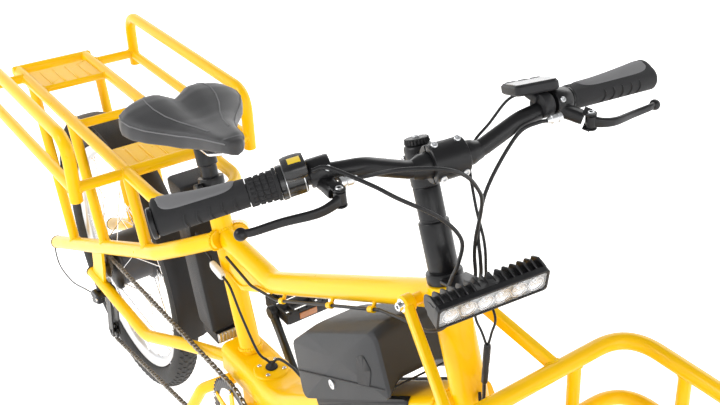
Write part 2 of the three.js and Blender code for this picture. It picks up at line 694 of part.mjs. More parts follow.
/** A point on the bar's outer run, a distance from the bar's middle; side is -1 or 1. */
function onBar(y, side, up = 0, ahead = 0) {
  const share = (y - 180) / (331 - 180);
  return [-14 - 26 * share + ahead, side * y, BAR_Z + 26 - 19 * share + up];
}
for (const [word, side] of sides) {
  const inner = side < 0 ? 238 : 188;
  add(steering, "grip_" + word,
    cut(sweep(round(17, 14), [onBar(inner, side), onBar(336, side)]), bar(GAP)), rubber);
}
const twist = cut(rod(onBar(203, -1), onBar(237.5, -1), 18, 20), rod(onBar(200, -1), onBar(240, -1), 12.2, 24));
add(steering, "twist_shifter", twist, rubber);
add(
  steering,
  "shifter_body",
  cut(join([
    sweep(round(19, 14), [onBar(172.5, -1), onBar(202.5, -1)]),
    sweep(rounded(34, 20, 5), [onBar(174, -1, 20, 8), onBar(200, -1, 20, 8)]),
  ]), bar(GAP)),
  blackPlastic,
);
/** Each brake lever: the clamp's place on the bar, the pin's, and where the ball ends. */
const brakes = [
  { word: "right", side: -1, at: 156, pin: 150, ahead: 40, reach: 262, tip: [-16, 46] },
  { word: "left", side: 1, at: 170, pin: 196, ahead: 40, reach: 301, tip: [-11, 48] },
];
for (const { word, side, at, pin, ahead, reach, tip } of brakes) {
  const root = onBar(at, side, -8, 8);
  const pinAt = onBar(pin, side, -17, ahead);
  const span = Math.hypot(...pinAt.map((v, i) => v - root[i]));
  const armEnd = pinAt.map((v, i) => v - ((v - root[i]) * 10) / span);
  const body = cut(
    join([
      sweep(round(17, 14), [onBar(at - 13, side), onBar(at + 13, side)]),
      sweep(rounded(16, 18, 5), [root, armEnd]),
    ]),
    bar(GAP),
  );
  add(steering, "brake_bracket_" + word, body, blackPaint);
  const blade = tube(
    [onBar(pin, side, -17, ahead + 3), onBar(pin + 22, side, -18, ahead + 14),
      onBar(pin + 60, side, -17, ahead + 10), onBar(reach, side, ...tip)],
    6, 40, 3, 10,
  );
  const pivot = rod(onBar(pin, side, -26, ahead), onBar(pin, side, -8, ahead), 7, 12);
  add(steering, "brake_lever_" + word, join([blade, pivot]), blackPaint);
}
const DISPLAY_MIDDLE = [-35, 142, BAR_Z + 47.5];
const displayAlong = (d) => [
  DISPLAY_MIDDLE[0] + 0.931 * d, DISPLAY_MIDDLE[1] - 0.148 * d, DISPLAY_MIDDLE[2] + 0.334 * d,
];
add(
  steering,
  "display_unit",
  cut(
    join([
      sweep(rounded(60, 15.7, 5), [displayAlong(-30.7), displayAlong(30.7)]),
      rod(onBar(142, 1, 6, -4), displayAlong(6), 10, 12),
      sweep(round(16, 14), [onBar(136, 1), onBar(152, 1)]),
    ]),
    bar(GAP),
  ),
  blackPlastic,
);

// ---------- headlight ----------
const LAMP_TOP = [112, BAR_Z - 123];
const LAMP_TILT = THREE.MathUtils.degToRad(14);
const LAMP_PIVOT = [LAMP_TOP[0] - 24, LAMP_TOP[1] - 22];
const lampPoint = (back, down) => [
  LAMP_TOP[0] - back * Math.cos(LAMP_TILT) - down * Math.sin(LAMP_TILT),
  LAMP_TOP[1] + back * Math.sin(LAMP_TILT) - down * Math.cos(LAMP_TILT),
];
const lampOutline = [[0, 0], [22, 0], [38, 10], [38, 24], [26, 36], [0, 36]].map(([b, d]) => lampPoint(b, d));
add(steering, "headlight", plate(lampOutline.reverse(), -77, 77), blackPaint);
const armRoot = axisAt(190, 26.5);
const armTip = [LAMP_PIVOT[0] - 25, LAMP_PIVOT[1] - 14];
const armOutline = [
  [armRoot[0], armRoot[2] - 2], [armTip[0], armTip[1]], [armTip[0], armTip[1] + 4], [armRoot[0], armRoot[2] + 2],
];
add(steering, "headlight_bracket", plate(armOutline, -21, 21), blackPaint);

// ---------- cables that the bicycle holds all the way ----------
const cableRun = [[-150, -20, 816], [-300, -20, 741], [-470, -21, 656], [-560, -24, 640], [-655, -22.5, 652]];
add(bicycle, "shift_cable_top_tube", cut(tube(cableRun, 2.6, 60, 3, 8), topTube(GAP), seatOuter(GAP)), rubber);

// ---------- front wheel, carried by the fork ----------
add(steering, "front_tyre", tyre(FRONT_HUB_X), rubber);
add(steering, "front_wheel", wheel(FRONT_HUB_X, 26, 40, 53), alloy);

// The bars rest turned about the steering axis.
const pivotPoint = v3(...onAxis(HEAD_TOP));
steering.quaternion.setFromAxisAngle(axisDown, -STEER_REST);
steering.position.copy(pivotPoint).sub(pivotPoint.clone().applyQuaternion(steering.quaternion));

// The origin is the middle of the footprint, on the ground.
bicycle.updateMatrixWorld(true);
const footprint = new THREE.Box3().setFromObject(bicycle, true);
bicycle.position.set(
  -(footprint.min.x + footprint.max.x) / 2,
  -(footprint.min.y + footprint.max.y) / 2,
  -footprint.min.z,
);

export default bicycle;
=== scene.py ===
# %% [markdown]
# # An electric cargo bicycle, finished in Blender
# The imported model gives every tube, wheel and lever its place and its size. This lesson builds the fine
# surface round it: smooth tubes, weld beads, treads, cables, a padded saddle, and a finish for each.

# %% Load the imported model
import json
import math

import bmesh
import bpy
import numpy as np
from mathutils import Matrix


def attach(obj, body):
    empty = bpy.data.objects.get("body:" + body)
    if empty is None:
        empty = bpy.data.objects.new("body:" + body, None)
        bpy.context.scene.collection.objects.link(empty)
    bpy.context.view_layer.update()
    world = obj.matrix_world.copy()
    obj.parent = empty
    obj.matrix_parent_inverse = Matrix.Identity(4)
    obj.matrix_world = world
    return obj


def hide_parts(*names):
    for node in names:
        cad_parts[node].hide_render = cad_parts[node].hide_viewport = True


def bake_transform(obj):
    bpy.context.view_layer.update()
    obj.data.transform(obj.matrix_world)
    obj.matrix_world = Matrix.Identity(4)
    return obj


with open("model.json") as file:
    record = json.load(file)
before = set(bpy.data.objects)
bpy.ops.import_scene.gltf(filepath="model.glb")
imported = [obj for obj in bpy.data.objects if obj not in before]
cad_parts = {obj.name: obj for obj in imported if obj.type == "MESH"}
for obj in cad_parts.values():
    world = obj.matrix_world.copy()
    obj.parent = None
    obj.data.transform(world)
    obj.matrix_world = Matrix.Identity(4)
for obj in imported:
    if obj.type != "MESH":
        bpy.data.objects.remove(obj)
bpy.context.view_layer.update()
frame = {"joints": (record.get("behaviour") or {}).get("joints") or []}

# %% [markdown]
# ## One set of coordinates
# The bicycle is drawn in millimetres with x = 0 at the handlebar clamp, as a frame builder measures reach.
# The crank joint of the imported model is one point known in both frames, so it ties the drawing to metres.
# The bars rest turned a little, so everything that steers is turned by the same angle about the headset.

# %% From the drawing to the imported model
JOINT = {joint["name"]: joint for joint in frame["joints"]}
BRACKET = np.array([-622.0, 0.0, 302.0])
ORIGIN = np.array(JOINT["crank_spin"]["pos_m"]) * 1000 - BRACKET
STEER_POINT = np.array(JOINT["steering_turn"]["pos_m"]) * 1000 - ORIGIN
STEER_REST = math.radians(-10)


def unit(vector):
    """A vector, or rows of vectors, divided by their length."""
    vector = np.asarray(vector, float)
    return vector / np.linalg.norm(vector, axis=-1, keepdims=True)


STEER_UP = unit(JOINT["steering_turn"]["axis"])


def turn(points, centre, axis, angle):
    """Rodrigues' formula: the part across the axis turns by the angle, and the part along it stays."""
    arm = np.asarray(points, float) - centre
    along = (arm @ axis)[..., None] * axis
    across = arm - along
    return centre + along + across * math.cos(angle) + np.cross(axis, across) * math.sin(angle)


def steer(points):
    """Points drawn with straight bars, turned to where the bars rest."""
    return turn(points, STEER_POINT, STEER_UP, STEER_REST)


print("drawing's origin in the packed model, mm", ORIGIN.round(1))

# %% [markdown]
# ## Surfaces as grids
# Almost every part of a bicycle is a section carried along a line. A grid of points, rows along the line and
# columns round the section, holds such a surface, and neighbouring points make its four-sided faces.
# A shell is such a grid with its ends closed. Several shells can be one piece.

# %% Shells
class Shell:
    """Vertices in drawing millimetres with four-sided and three-sided faces."""

    def __init__(self, vertices, quads, triangles):
        self.vertices = np.asarray(vertices, float).reshape(-1, 3)
        self.quads = np.asarray(quads, int).reshape(-1, 4)
        self.triangles = np.asarray(triangles, int).reshape(-1, 3)

    def __add__(self, other):
        shift = len(self.vertices)
        return Shell(
            np.vstack([self.vertices, other.vertices]),
            np.vstack([self.quads, other.quads + shift]),
            np.vstack([self.triangles, other.triangles + shift]),
        )

    def moved(self, change):
        """The same faces on vertices that a function has moved."""
        return Shell(change(self.vertices), self.quads, self.triangles)


def together(shells):
    """Many shells as one."""
    total = shells[0]
    for shell in shells[1:]:
        total = total + shell
    return total


def grid(points, wrap_rows=False, caps=True):
    """Faces between the neighbours of points [row, column]; a cap is a fan from an end row to its middle."""
    rows, columns = points.shape[:2]
    number = np.arange(rows * columns).reshape(rows, columns)
    below = number if wrap_rows else number[:-1]
    above = np.roll(number, -1, 0) if wrap_rows else number[1:]
    left, right = below, np.roll(below, -1, 1)
    up_left, up_right = above, np.roll(above, -1, 1)
    quads = np.stack([left, right, up_right, up_left], -1).reshape(-1, 4)
    vertices = points.reshape(-1, 3)
    triangles = np.zeros((0, 3), int)
    if caps and not wrap_rows:
        middles = np.stack([points[0].mean(0), points[-1].mean(0)])
        start, end = len(vertices), len(vertices) + 1
        vertices = np.vstack([vertices, middles])
        first, final = number[0], number[-1]
        near = np.stack([np.roll(first, -1), first, np.full(columns, start)], -1)
        far = np.stack([final, np.roll(final, -1), np.full(columns, end)], -1)
        triangles = np.vstack([near, far])
    return Shell(vertices, quads, triangles)


# %% Sections
def circle(radius, sides=24):
    """Points [cos, sin] times the radius."""
    angle = np.arange(sides) * 2 * math.pi / sides
    return radius * np.stack([np.cos(angle), np.sin(angle)], -1)


def rounded(width, height, corner, steps=5):
    """A rectangle whose corners are quarter circles."""
    quarter = (np.arange(4)[:, None] + np.arange(steps + 1) / steps) * math.pi / 2
    middle = np.array([[1, 1], [-1, 1], [-1, -1], [1, -1]]) * [width / 2 - corner, height / 2 - corner]
    return (middle[:, None] + corner * np.stack([np.cos(quarter), np.sin(quarter)], -1)).reshape(-1, 2)


# %% Paths
def bent(corners, bend=40, steps=8):
    """Straight runs whose inner corners are rounded: a parabola from a little before to a little after."""
    corners = np.asarray(corners, float)
    line = [corners[:1]]
    share = np.linspace(0, 1, steps + 1)[:, None]
    for before, corner, after in zip(corners[:-2], corners[1:-1], corners[2:]):
        into, out = unit(corner - before), unit(after - corner)
        half = math.acos(np.clip(into @ out, -1, 1)) / 2
        room = min(np.linalg.norm(corner - before), np.linalg.norm(after - corner)) * 0.48
        trim = min(bend * math.tan(half), room)
        start, end = corner - into * trim, corner + out * trim
        line.append((1 - share) ** 2 * start + 2 * share * (1 - share) * corner + share**2 * end)
    line.append(corners[-1:])
    return np.vstack(line)


def smooth(corners, steps=12):
    """A Catmull-Rom curve: each span is a cubic whose slope at a corner is half the step past it."""
    p = np.asarray(corners, float)
    p = np.vstack([2 * p[0] - p[1], p, 2 * p[-1] - p[-2]])
    t = np.linspace(0, 1, steps, endpoint=False)[:, None]
    spans = [
        0.5 * (2 * b + (c - a) * t + (2 * a - 5 * b + 4 * c - d) * t**2 + (3 * b - a - 3 * c + d) * t**3)
        for a, b, c, d in zip(p[:-3], p[1:-2], p[2:-1], p[3:])
    ]
    return np.vstack(spans + [p[-2:-1]])


def frames(line, closed=False, up=None):
    """Two directions across a line at each point, each the last one with its lean along the line removed."""
    step = np.roll(line, -1, 0) - np.roll(line, 1, 0) if closed else np.gradient(line, axis=0)
    tangent = unit(step)
    guess = np.eye(3)[np.argmin(abs(tangent[0]))] if up is None else np.asarray(up, float)
    across = []
    for t in tangent:
        guess = unit(guess - (guess @ t) * t)
        across.append(guess)
    across = np.array(across)
    return tangent, across, np.cross(tangent, across)


def carried(section, line, size=1.0, up=None, closed=False, caps=True):
    """A section carried along a line: point = line + x * across + y * other across, times the size there."""
    _, one, other = frames(line, closed, up)
    size = np.broadcast_to(size, (len(line),))[:, None, None]
    spread = section[None, :, :1] * one[:, None] + section[None, :, 1:] * other[:, None]
    return grid(line[:, None] + size * spread, wrap_rows=closed, caps=caps)


# %% Tubes, turned parts, slabs and blocks
def pipe(corners, radius, bend=40, sides=24, steps=8):
    """A round tube along bent corners."""
    return carried(circle(radius, sides), bent(corners, bend, steps))


def turned(profile, centre, axis=(0, 1, 0), sides=48, closed=False):
    """A profile of [radius, distance along the axis] turned about the axis through a point."""
    profile = np.asarray(profile, float)
    axis = unit(axis)
    one = unit(np.cross(axis, np.eye(3)[np.argmin(abs(axis))]))
    other = np.cross(axis, one)
    ring = circle(1, sides)
    spokes = ring[:, :1] * one + ring[:, 1:] * other
    points = np.asarray(centre) + profile[:, 1, None, None] * axis + profile[:, 0, None, None] * spokes
    return grid(points, wrap_rows=closed, caps=not closed)


def rod(start, end, radius, sides=16, edge=0.6):
    """A short round bar whose two rims are slightly rounded."""
    start, end = np.asarray(start, float), np.asarray(end, float)
    length = np.linalg.norm(end - start)
    edge = min(edge, radius * 0.4, length * 0.4)
    profile = [[radius - edge, 0], [radius, edge], [radius, length - edge], [radius - edge, length]]
    return turned(profile, start, end - start, sides)


def slab(outline, low, high, edge=1.0, across=1):
    """A flat outline of two coordinates made thick along the third, with a chamfer at both faces."""
    outline = np.asarray(outline, float)
    inward = outline.mean(0) - outline
    inset = outline + edge * unit(inward) * 1.2
    layers = [(inset, low), (outline, low + edge), (outline, high - edge), (inset, high)]
    points = np.stack([np.insert(shape, across, level, axis=1) for shape, level in layers])
    return grid(points)


def block(low, high, edge=1.0, corner=2.0):
    """A box with rounded upright corners and a chamfer above and below."""
    low, high = np.asarray(low, float), np.asarray(high, float)
    section = rounded(high[0] - low[0], high[1] - low[1], corner, 3)
    middle = (low + high) / 2
    return slab(section + middle[:2], low[2], high[2], edge, across=2)


def mirrored(points, side):
    """Left-hand points as they are, or on the right with y turned round."""
    return np.asarray(points, float) * [1, side, 1]


# %% [markdown]
# ## From shell to piece
# A piece is a Blender object at the origin whose mesh holds its place. Doubled points are merged and the
# faces are turned outwards, which a closed shell needs before light falls on it in the right way.

# %% Making a piece
SIDES = {"right": -1, "left": 1}
count = {"pieces": 0, "faces": 0}


def make(name, shell, finish, body, slot, nodes=(), turned_bars=False, flat_above=40):
    """Puts a shell into the scene as one piece. It rides on a body, if one is given."""
    points = steer(shell.vertices) if turned_bars else shell.vertices
    mesh = bpy.data.meshes.new(name)
    vertices = (points + ORIGIN) / 1000
    mesh.from_pydata(vertices.tolist(), [], shell.quads.tolist() + shell.triangles.tolist())
    work = bmesh.new()
    work.from_mesh(mesh)
    bmesh.ops.remove_doubles(work, verts=work.verts, dist=1e-6)
    bmesh.ops.dissolve_degenerate(work, edges=work.edges, dist=1e-7)
    bmesh.ops.recalc_face_normals(work, faces=work.faces)
    work.to_mesh(mesh)
    work.free()
    mesh.shade_smooth()
    mesh.set_sharp_from_angle(angle=math.radians(flat_above))
    mesh.materials.append(finish)
    piece = bpy.data.objects.new(name, mesh)
    bpy.context.scene.collection.objects.link(piece)
    if body:
        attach(piece, body)
    if nodes:
        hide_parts(*nodes)
    count["pieces"] += 1
    count["faces"] += len(mesh.polygons)
    return piece


# %% [markdown]
# ## Shader maths in Python
# A socket wrapped in a small class lets a finish be written as an expression: mask * 0.2 + 0.3 adds the
# Multiply and Add nodes by itself. One method makes every other node.

# %% Sockets
class Value:
    """A number output in a material. Python's operators on it add Math nodes."""

    def __init__(self, finish, socket):
        self.finish = finish
        self.socket = socket

    def maths(self, operation, *others):
        """Adds a Math node whose first input is this value."""
        return self.finish.node("ShaderNodeMath", {"operation": operation},
                                {0: self, **dict(enumerate(others, 1))})

    def __add__(self, other):
        return self.maths("ADD", other)

    def __mul__(self, other):
        return self.maths("MULTIPLY", other)

    def above(self, edge, soft):
        """0 below the edge, 1 above it, with a soft step between."""
        return self.finish.node(
            "ShaderNodeMapRange",
            {"interpolation_type": "SMOOTHSTEP"},
            {"Value": self, "From Min": edge - soft, "From Max": edge + soft},
        )


# %% Finishes
class Finish:
    """A material with one Principled shader."""

    def __init__(self, name, **constants):
        self.material = bpy.data.materials.new(name)
        self.material.use_nodes = True
        self.tree = self.material.node_tree
        self.shader = next(n for n in self.tree.nodes if n.type == "BSDF_PRINCIPLED")
        self.place = self.node("ShaderNodeTexCoord", {}, {}, "Object")
        for socket, value in constants.items():
            self.shader.inputs[socket.replace("_", " ")].default_value = value

    def node(self, kind, settings, values, output=0):
        """Adds a node: first its settings, then numbers or links for its sockets."""
        made = self.tree.nodes.new(kind)
        for setting, value in settings.items():
            setattr(made, setting, value)
        for socket, value in values.items():
            if isinstance(value, Value):
                self.tree.links.new(value.socket, made.inputs[socket])
            else:
                made.inputs[socket].default_value = value
        return Value(self, made.outputs[output])

    def noise(self, scale, detail=3.0, rough=0.55, place=None):
        """Cloudy grain from 0 to 1, with about scale lumps a metre."""
        values = {"Vector": place or self.place, "Scale": scale, "Detail": detail, "Roughness": rough}
        return self.node("ShaderNodeTexNoise", {}, values, "Fac")

    def stretched(self, x, y, z):
        """Object coordinates scaled along each axis, for grain that runs one way."""
        return self.node("ShaderNodeMapping", {}, {"Vector": self.place, "Scale": (x, y, z)})

    def cells(self, scale, randomness=1.0, place=None):
        """Distance from the nearest point of a scattered set."""
        values = {"Vector": place or self.place, "Scale": scale, "Randomness": randomness}
        return self.node("ShaderNodeTexVoronoi", {}, values, "Distance")

    def blend(self, factor, first, second):
        """A colour between two, by a factor."""
        return self.node("ShaderNodeMix", {"data_type": "RGBA"}, {0: factor, 6: first, 7: second}, 2)

    def into(self, **links):
        """Joins values to the shader's sockets."""
        for socket, value in links.items():
            self.tree.links.new(value.socket, self.shader.inputs[socket.replace("_", " ")])

    def bump(self, height, strength, distance):
        """A relief that bends the light without moving the surface."""
        values = {"Height": height, "Strength": strength, "Distance": distance}
        self.into(Normal=self.node("ShaderNodeBump", {}, values))


def shade(red, green, blue):
    """A colour with full cover."""
    return (red, green, blue, 1.0)


# %% [markdown]
# ## The finishes
# Powder coat on a bicycle frame is glossy with a faint orange peel. Anodised parts are satin with fine
# drawn lines. Moulded plastic carries a spark-eroded grain, and rubber is matt with dust in its pores.

# %% Paint and metal
def frame_paint():
    """Yellow powder coat under a clear gloss, a hair deeper in shade from place to place."""
    f = Finish("frame_yellow_gloss", Coat_Weight=0.2, Coat_Roughness=0.06, Specular_IOR_Level=0.2)
    drift = f.noise(3.0, 2.0)
    f.into(Base_Color=f.blend(drift, shade(0.9, 0.5, 0.0), shade(0.96, 0.57, 0.001)))
    f.into(Roughness=f.noise(40.0) * 0.12 + 0.24)
    f.bump(f.noise(900.0, 1.0), 0.05, 0.0004)
    return f.material


def weld_paint():
    """The same coat over a weld, darker in the ripples' hollows and lighter on their crests: painted shade
    and a painted highlight that follow the bead's relief.
    """
    f = Finish("weld_yellow_gloss_painted_relief_shade", Coat_Weight=0.2, Coat_Roughness=0.1, Specular_IOR_Level=0.2)
    ripple = f.noise(420.0, 2.0)
    # The ripple noise that raises the bead also sets its colour: painted shade in its low parts, painted
    # highlight on its high ones.
    f.into(Base_Color=f.blend(ripple, shade(0.78, 0.45, 0.0), shade(1.0, 0.63, 0.004)))
    f.into(Roughness=ripple * 0.2 + 0.25)
    f.bump(ripple, 0.4, 0.001)
    return f.material


def drawn_metal(name, dark, light, rough, metallic=1.0, coat=0.0):
    """Metal with fine lines and a few rub marks."""
    f = Finish(name, Metallic=metallic, Coat_Weight=coat, Coat_Roughness=0.15, Specular_IOR_Level=0.3)
    lines = f.noise(1.0, 2.0, place=f.stretched(900.0, 120.0, 900.0))
    cloud = f.noise(25.0)
    f.into(Base_Color=f.blend(cloud, shade(*dark), shade(*light)))
    f.into(Roughness=lines * 0.12 + cloud * 0.1 + rough)
    f.bump(lines, 0.06, 0.0003)
    return f.material


# %% Plastic, rubber and vinyl
def moulded(name, dark, light, rough, grain=2600.0, depth=0.25, coat=0.0):
    """Plastic with a fine pebbled grain and a slightly worn sheen."""
    f = Finish(name, Coat_Weight=coat, Coat_Roughness=0.12, Specular_IOR_Level=0.3)
    cloud = f.noise(14.0)
    pebble = f.cells(grain)
    f.into(Base_Color=f.blend(cloud, shade(*dark), shade(*light)))
    f.into(Roughness=cloud * 0.15 + rough)
    f.bump(pebble, depth, 0.0003)
    return f.material


def tyre_rubber():
    """Black rubber, greyer with dust in its pores, with fine moulding lines."""
    f = Finish("tyre_black_rubber")
    dust = f.noise(60.0, 5.0).above(0.55, 0.2)
    f.into(Base_Color=f.blend(dust, shade(0.012, 0.012, 0.013), shade(0.035, 0.034, 0.032)))
    f.into(Roughness=dust * 0.15 + 0.62)
    f.bump(f.noise(1500.0, 3.0), 0.3, 0.0004)
    return f.material


def saddle_vinyl():
    """Black vinyl with a leather grain, pierced by a field of small dimples that are coloured darker than the
    vinyl round them: painted shade in the recesses.
    """
    f = Finish("saddle_black_vinyl", Sheen_Weight=0.15)
    grain = f.noise(700.0, 4.0)
    dimple_relief_and_shade = f.cells(140.0, 0.0, place=f.stretched(1.0, 1.0, 0.02)).above(0.26, 0.05)
    # The dimples get the darker colour: painted shade inside each recess, on top of their bump.
    f.into(Base_Color=f.blend(dimple_relief_and_shade, shade(0.006, 0.006, 0.007), shade(0.024, 0.024, 0.026)))
    f.into(Roughness=grain * 0.2 + 0.42)
    f.bump(dimple_relief_and_shade * 1.0 + grain * 0.25, 0.5, 0.0009)
    return f.material


# %% Lens and reflector
def clear_lens():
    """Clear moulded polycarbonate with faint flow marks."""
    f = Finish("lamp_clear_lens", Transmission_Weight=0.9, IOR=1.45)
    flow = f.noise(30.0)
    f.into(Base_Color=f.blend(flow, shade(0.93, 0.95, 0.97), shade(1.0, 1.0, 1.0)))
    f.into(Roughness=flow * 0.03 + 0.02)
    return f.material


def prism_reflector(name, colour):
    """A moulded reflector: rows of tiny corners, each darker towards its edge: painted shade between the
    prisms.
    """
    f = Finish(name, Coat_Weight=1.0, Coat_Roughness=0.03)
    prisms = f.cells(420.0, 0.0)
    # deep is a darkened copy of the colour: painted shade at the edges of each prism.
    deep = tuple(c * 0.35 for c in colour)
    f.into(Base_Color=f.blend(prisms.above(0.35, 0.2), shade(*colour), shade(*deep)))
    f.into(Roughness=prisms * 0.3 + 0.12)
    f.bump(prisms, 0.8, 0.001)
    return f.material


# %% The set of finishes
YELLOW = frame_paint()
WELD = weld_paint()
BLACK_METAL = drawn_metal("black_satin_metal", (0.006, 0.006, 0.007), (0.012, 0.012, 0.013), 0.26, 0.2,
                          0.15)
DARK_METAL = drawn_metal("dark_grey_metal", (0.06, 0.06, 0.065), (0.1, 0.1, 0.105), 0.32)
ALLOY = drawn_metal("silver_alloy", (0.62, 0.63, 0.65), (0.78, 0.79, 0.8), 0.24)
BRIGHT = drawn_metal("bright_steel", (0.72, 0.72, 0.73), (0.86, 0.86, 0.87), 0.1)
CHAIN_STEEL = drawn_metal("chain_steel", (0.16, 0.14, 0.12), (0.34, 0.32, 0.29), 0.3)
BLACK_PLASTIC = moulded("black_moulded_plastic", (0.009, 0.009, 0.01), (0.02, 0.02, 0.022), 0.42)
GLOSS_BLACK = moulded("gloss_black_plastic", (0.006, 0.006, 0.007), (0.012, 0.012, 0.013), 0.16,
                      depth=0.03, coat=0.5)
GREY_PLASTIC = moulded("grey_battery_case", (0.02, 0.021, 0.023), (0.034, 0.035, 0.038), 0.4)
PALE_PLASTIC = moulded("pale_connector_plastic", (0.62, 0.64, 0.63), (0.8, 0.82, 0.8), 0.3, depth=0.08,
                       coat=0.3)
WHITE_PLASTIC = moulded("white_lamp_liner", (0.7, 0.71, 0.72), (0.85, 0.86, 0.87), 0.22, depth=0.04,
                        coat=0.4)
YELLOW_PLASTIC = moulded("yellow_window", (0.75, 0.5, 0.02), (0.9, 0.66, 0.04), 0.25, depth=0.05, coat=0.4)
RUBBER = moulded("black_grip_rubber", (0.012, 0.012, 0.013), (0.026, 0.026, 0.028), 0.62, 1800.0, 0.4)
GREY_RUBBER = moulded("grey_pad_rubber", (0.13, 0.13, 0.135), (0.19, 0.19, 0.195), 0.58, 1500.0, 0.5)
CABLE = moulded("black_cable_jacket", (0.008, 0.008, 0.009), (0.018, 0.018, 0.019), 0.34, 900.0, 0.1)
TYRE = tyre_rubber()
VINYL = saddle_vinyl()
LENS = clear_lens()
AMBER = prism_reflector("amber_reflector", (0.9, 0.28, 0.01))
print("finishes", len(bpy.data.materials))

# %% [markdown]
# ## Camera, floor and light
# The bicycle is seen from its front right, from above the bars. A long soft key light from the upper left,
# a fill from the right and a pale floor that runs out of sight make an even studio look. The camera comes
# first, so that every later piece can be judged from it.

# %% The camera
AZIMUTH = math.radians(51.2)
ELEVATION = math.radians(26.2)
ROLL = math.radians(0.3)
BAR_CLAMP = np.array([0.0, 0.0, 1117.0])
EYE = BAR_CLAMP + [867.1, -682.0, 565.4]


def camera_directions(azimuth, elevation, roll):
    """Back points from the scene to the eye; right and up are square to it, rolled by a small angle."""
    across = [math.cos(azimuth), math.sin(azimuth), 0]
    back = np.array([
        math.sin(azimuth) * math.cos(elevation),
        -math.cos(azimuth) * math.cos(elevation),
        math.sin(elevation),
    ])
    right = unit(across)
    up = np.cross(back, right)
    return math.cos(roll) * right + math.sin(roll) * up, math.cos(roll) * up - math.sin(roll) * right, back


def add_camera():
    """A 51 mm lens on a 36 mm sensor, shifted so that the bars and the lamp stand right of the middle."""
    data = bpy.data.cameras.new("camera")
    data.lens = 51.19
    data.sensor_width = 36.0
    data.shift_x = -0.146
    data.shift_y = -0.087
    camera = bpy.data.objects.new("camera", data)
    right, up, back = camera_directions(AZIMUTH, ELEVATION, ROLL)
    matrix = np.eye(4)
    matrix[:3, 0], matrix[:3, 1], matrix[:3, 2] = right, up, back
    matrix[:3, 3] = (EYE + ORIGIN) / 1000
    camera.matrix_world = Matrix(matrix.tolist())
    bpy.context.scene.collection.objects.link(camera)
    bpy.context.scene.camera = camera


add_camera()


# %% Floor and lights
def add_floor():
    """A pale disc that curves up far behind, so that there is no horizon line."""
    radius = np.linspace(0.01, 9, 40)
    rise = 0.35 * np.clip(radius - 5, 0, None) ** 2
    ring = circle(1, 96)
    points = np.stack(np.broadcast_arrays(
        radius[:, None] * ring[None, :, 0], radius[:, None] * ring[None, :, 1], rise[:, None]
    ), -1)
    shell = grid(points, caps=False)
    mesh = bpy.data.meshes.new("studio_floor")
    mesh.from_pydata(shell.vertices.tolist(), [], shell.quads[:, ::-1].tolist())
    mesh.shade_smooth()
    f = Finish("studio_paper", Roughness=0.9, Emission_Color=shade(1, 1, 1), Emission_Strength=0.75)
    f.into(Base_Color=f.blend(f.noise(2.0), shade(0.88, 0.88, 0.88), shade(0.92, 0.92, 0.92)))
    mesh.materials.append(f.material)
    floor = bpy.data.objects.new("studio_floor", mesh)
    bpy.context.scene.collection.objects.link(floor)


def area_light(name, place, target, size, watts):
    """A square soft box that faces a point."""
    data = bpy.data.lights.new(name, "AREA")
    data.size = size
    data.energy = watts
    light = bpy.data.objects.new(name, data)
    back = unit(np.array(place) - target)
    right = unit(np.cross([0, 0, 1], back))
    up = np.cross(back, right)
    matrix = np.eye(4)
    matrix[:3, 0], matrix[:3, 1], matrix[:3, 2], matrix[:3, 3] = right, up, back, place
    light.matrix_world = Matrix(matrix.tolist())
    bpy.context.scene.collection.objects.link(light)


add_floor()
area_light("key_light", (-1.5, -3.6, 4.2), np.array([0.1, 0, 0.7]), 2.2, 105)
area_light("fill_light", (4.2, -0.6, 2.6), np.array([0.3, 0, 0.7]), 3.0, 34)
area_light("back_light", (-1.6, 3.8, 3.4), np.array([0.0, 0, 0.7]), 2.6, 50)
world = bpy.data.worlds.new("studio_air")
world.use_nodes = True
world.node_tree.nodes["Background"].inputs[0].default_value = shade(1.0, 1.0, 1.0)
world.node_tree.nodes["Background"].inputs[1].default_value = 0.38
bpy.context.scene.world = world
bpy.context.scene.view_settings.view_transform = "Standard"

# %% [markdown]
# ## The welded frame
# The main tubes are drawn aluminium, cut to fit each other and welded, so a rippled bead runs round each
# joint. The beam under the riders is a wide rounded box section, and the upper tube dips for a low step.

# %% Where the frame tubes run
HEAD_ANGLE = math.radians(71.7)
AXIS_DOWN = np.array([math.cos(HEAD_ANGLE), 0, -math.sin(HEAD_ANGLE)])
AXIS_AHEAD = np.array([math.sin(HEAD_ANGLE), 0, math.cos(HEAD_ANGLE)])
AXIS_TOP = np.array([-82.0, 0, 1117.0])


def axis_at(down, ahead=0.0, y=0.0):
    """A point measured down the steering axis, then forward square to it, then sideways."""
    return AXIS_TOP + down * AXIS_DOWN + ahead * AXIS_AHEAD + np.array([0, y, 0])


def on_seat(z):
    """A point on the seat tube's axis at a height."""
    return np.array([-640 - 0.285 * (z - 442), 0, z])


SEAT_UP = unit(on_seat(600) - on_seat(500))
BEAM = [[43, 0, 750], [-480, 0, 411], [-690, 0, 405]]
TOP_TUBE = [[-13.5, 0, 910], [-512, 0, 661], [-690, 0, 668]]
MID_STAY = [[-685, 20, 674], [-760, 60, 635], [-860, 75, 580], [-1600, 75, 243]]
CHAINSTAY = [[-1335, 75, 288], [-1010, 75, 288], [-860, 52, 345], [-690.5, 24, 402]]
GUSSET = [[-500, 650], [-628, 586], [-676, 600], [-690, 660]]


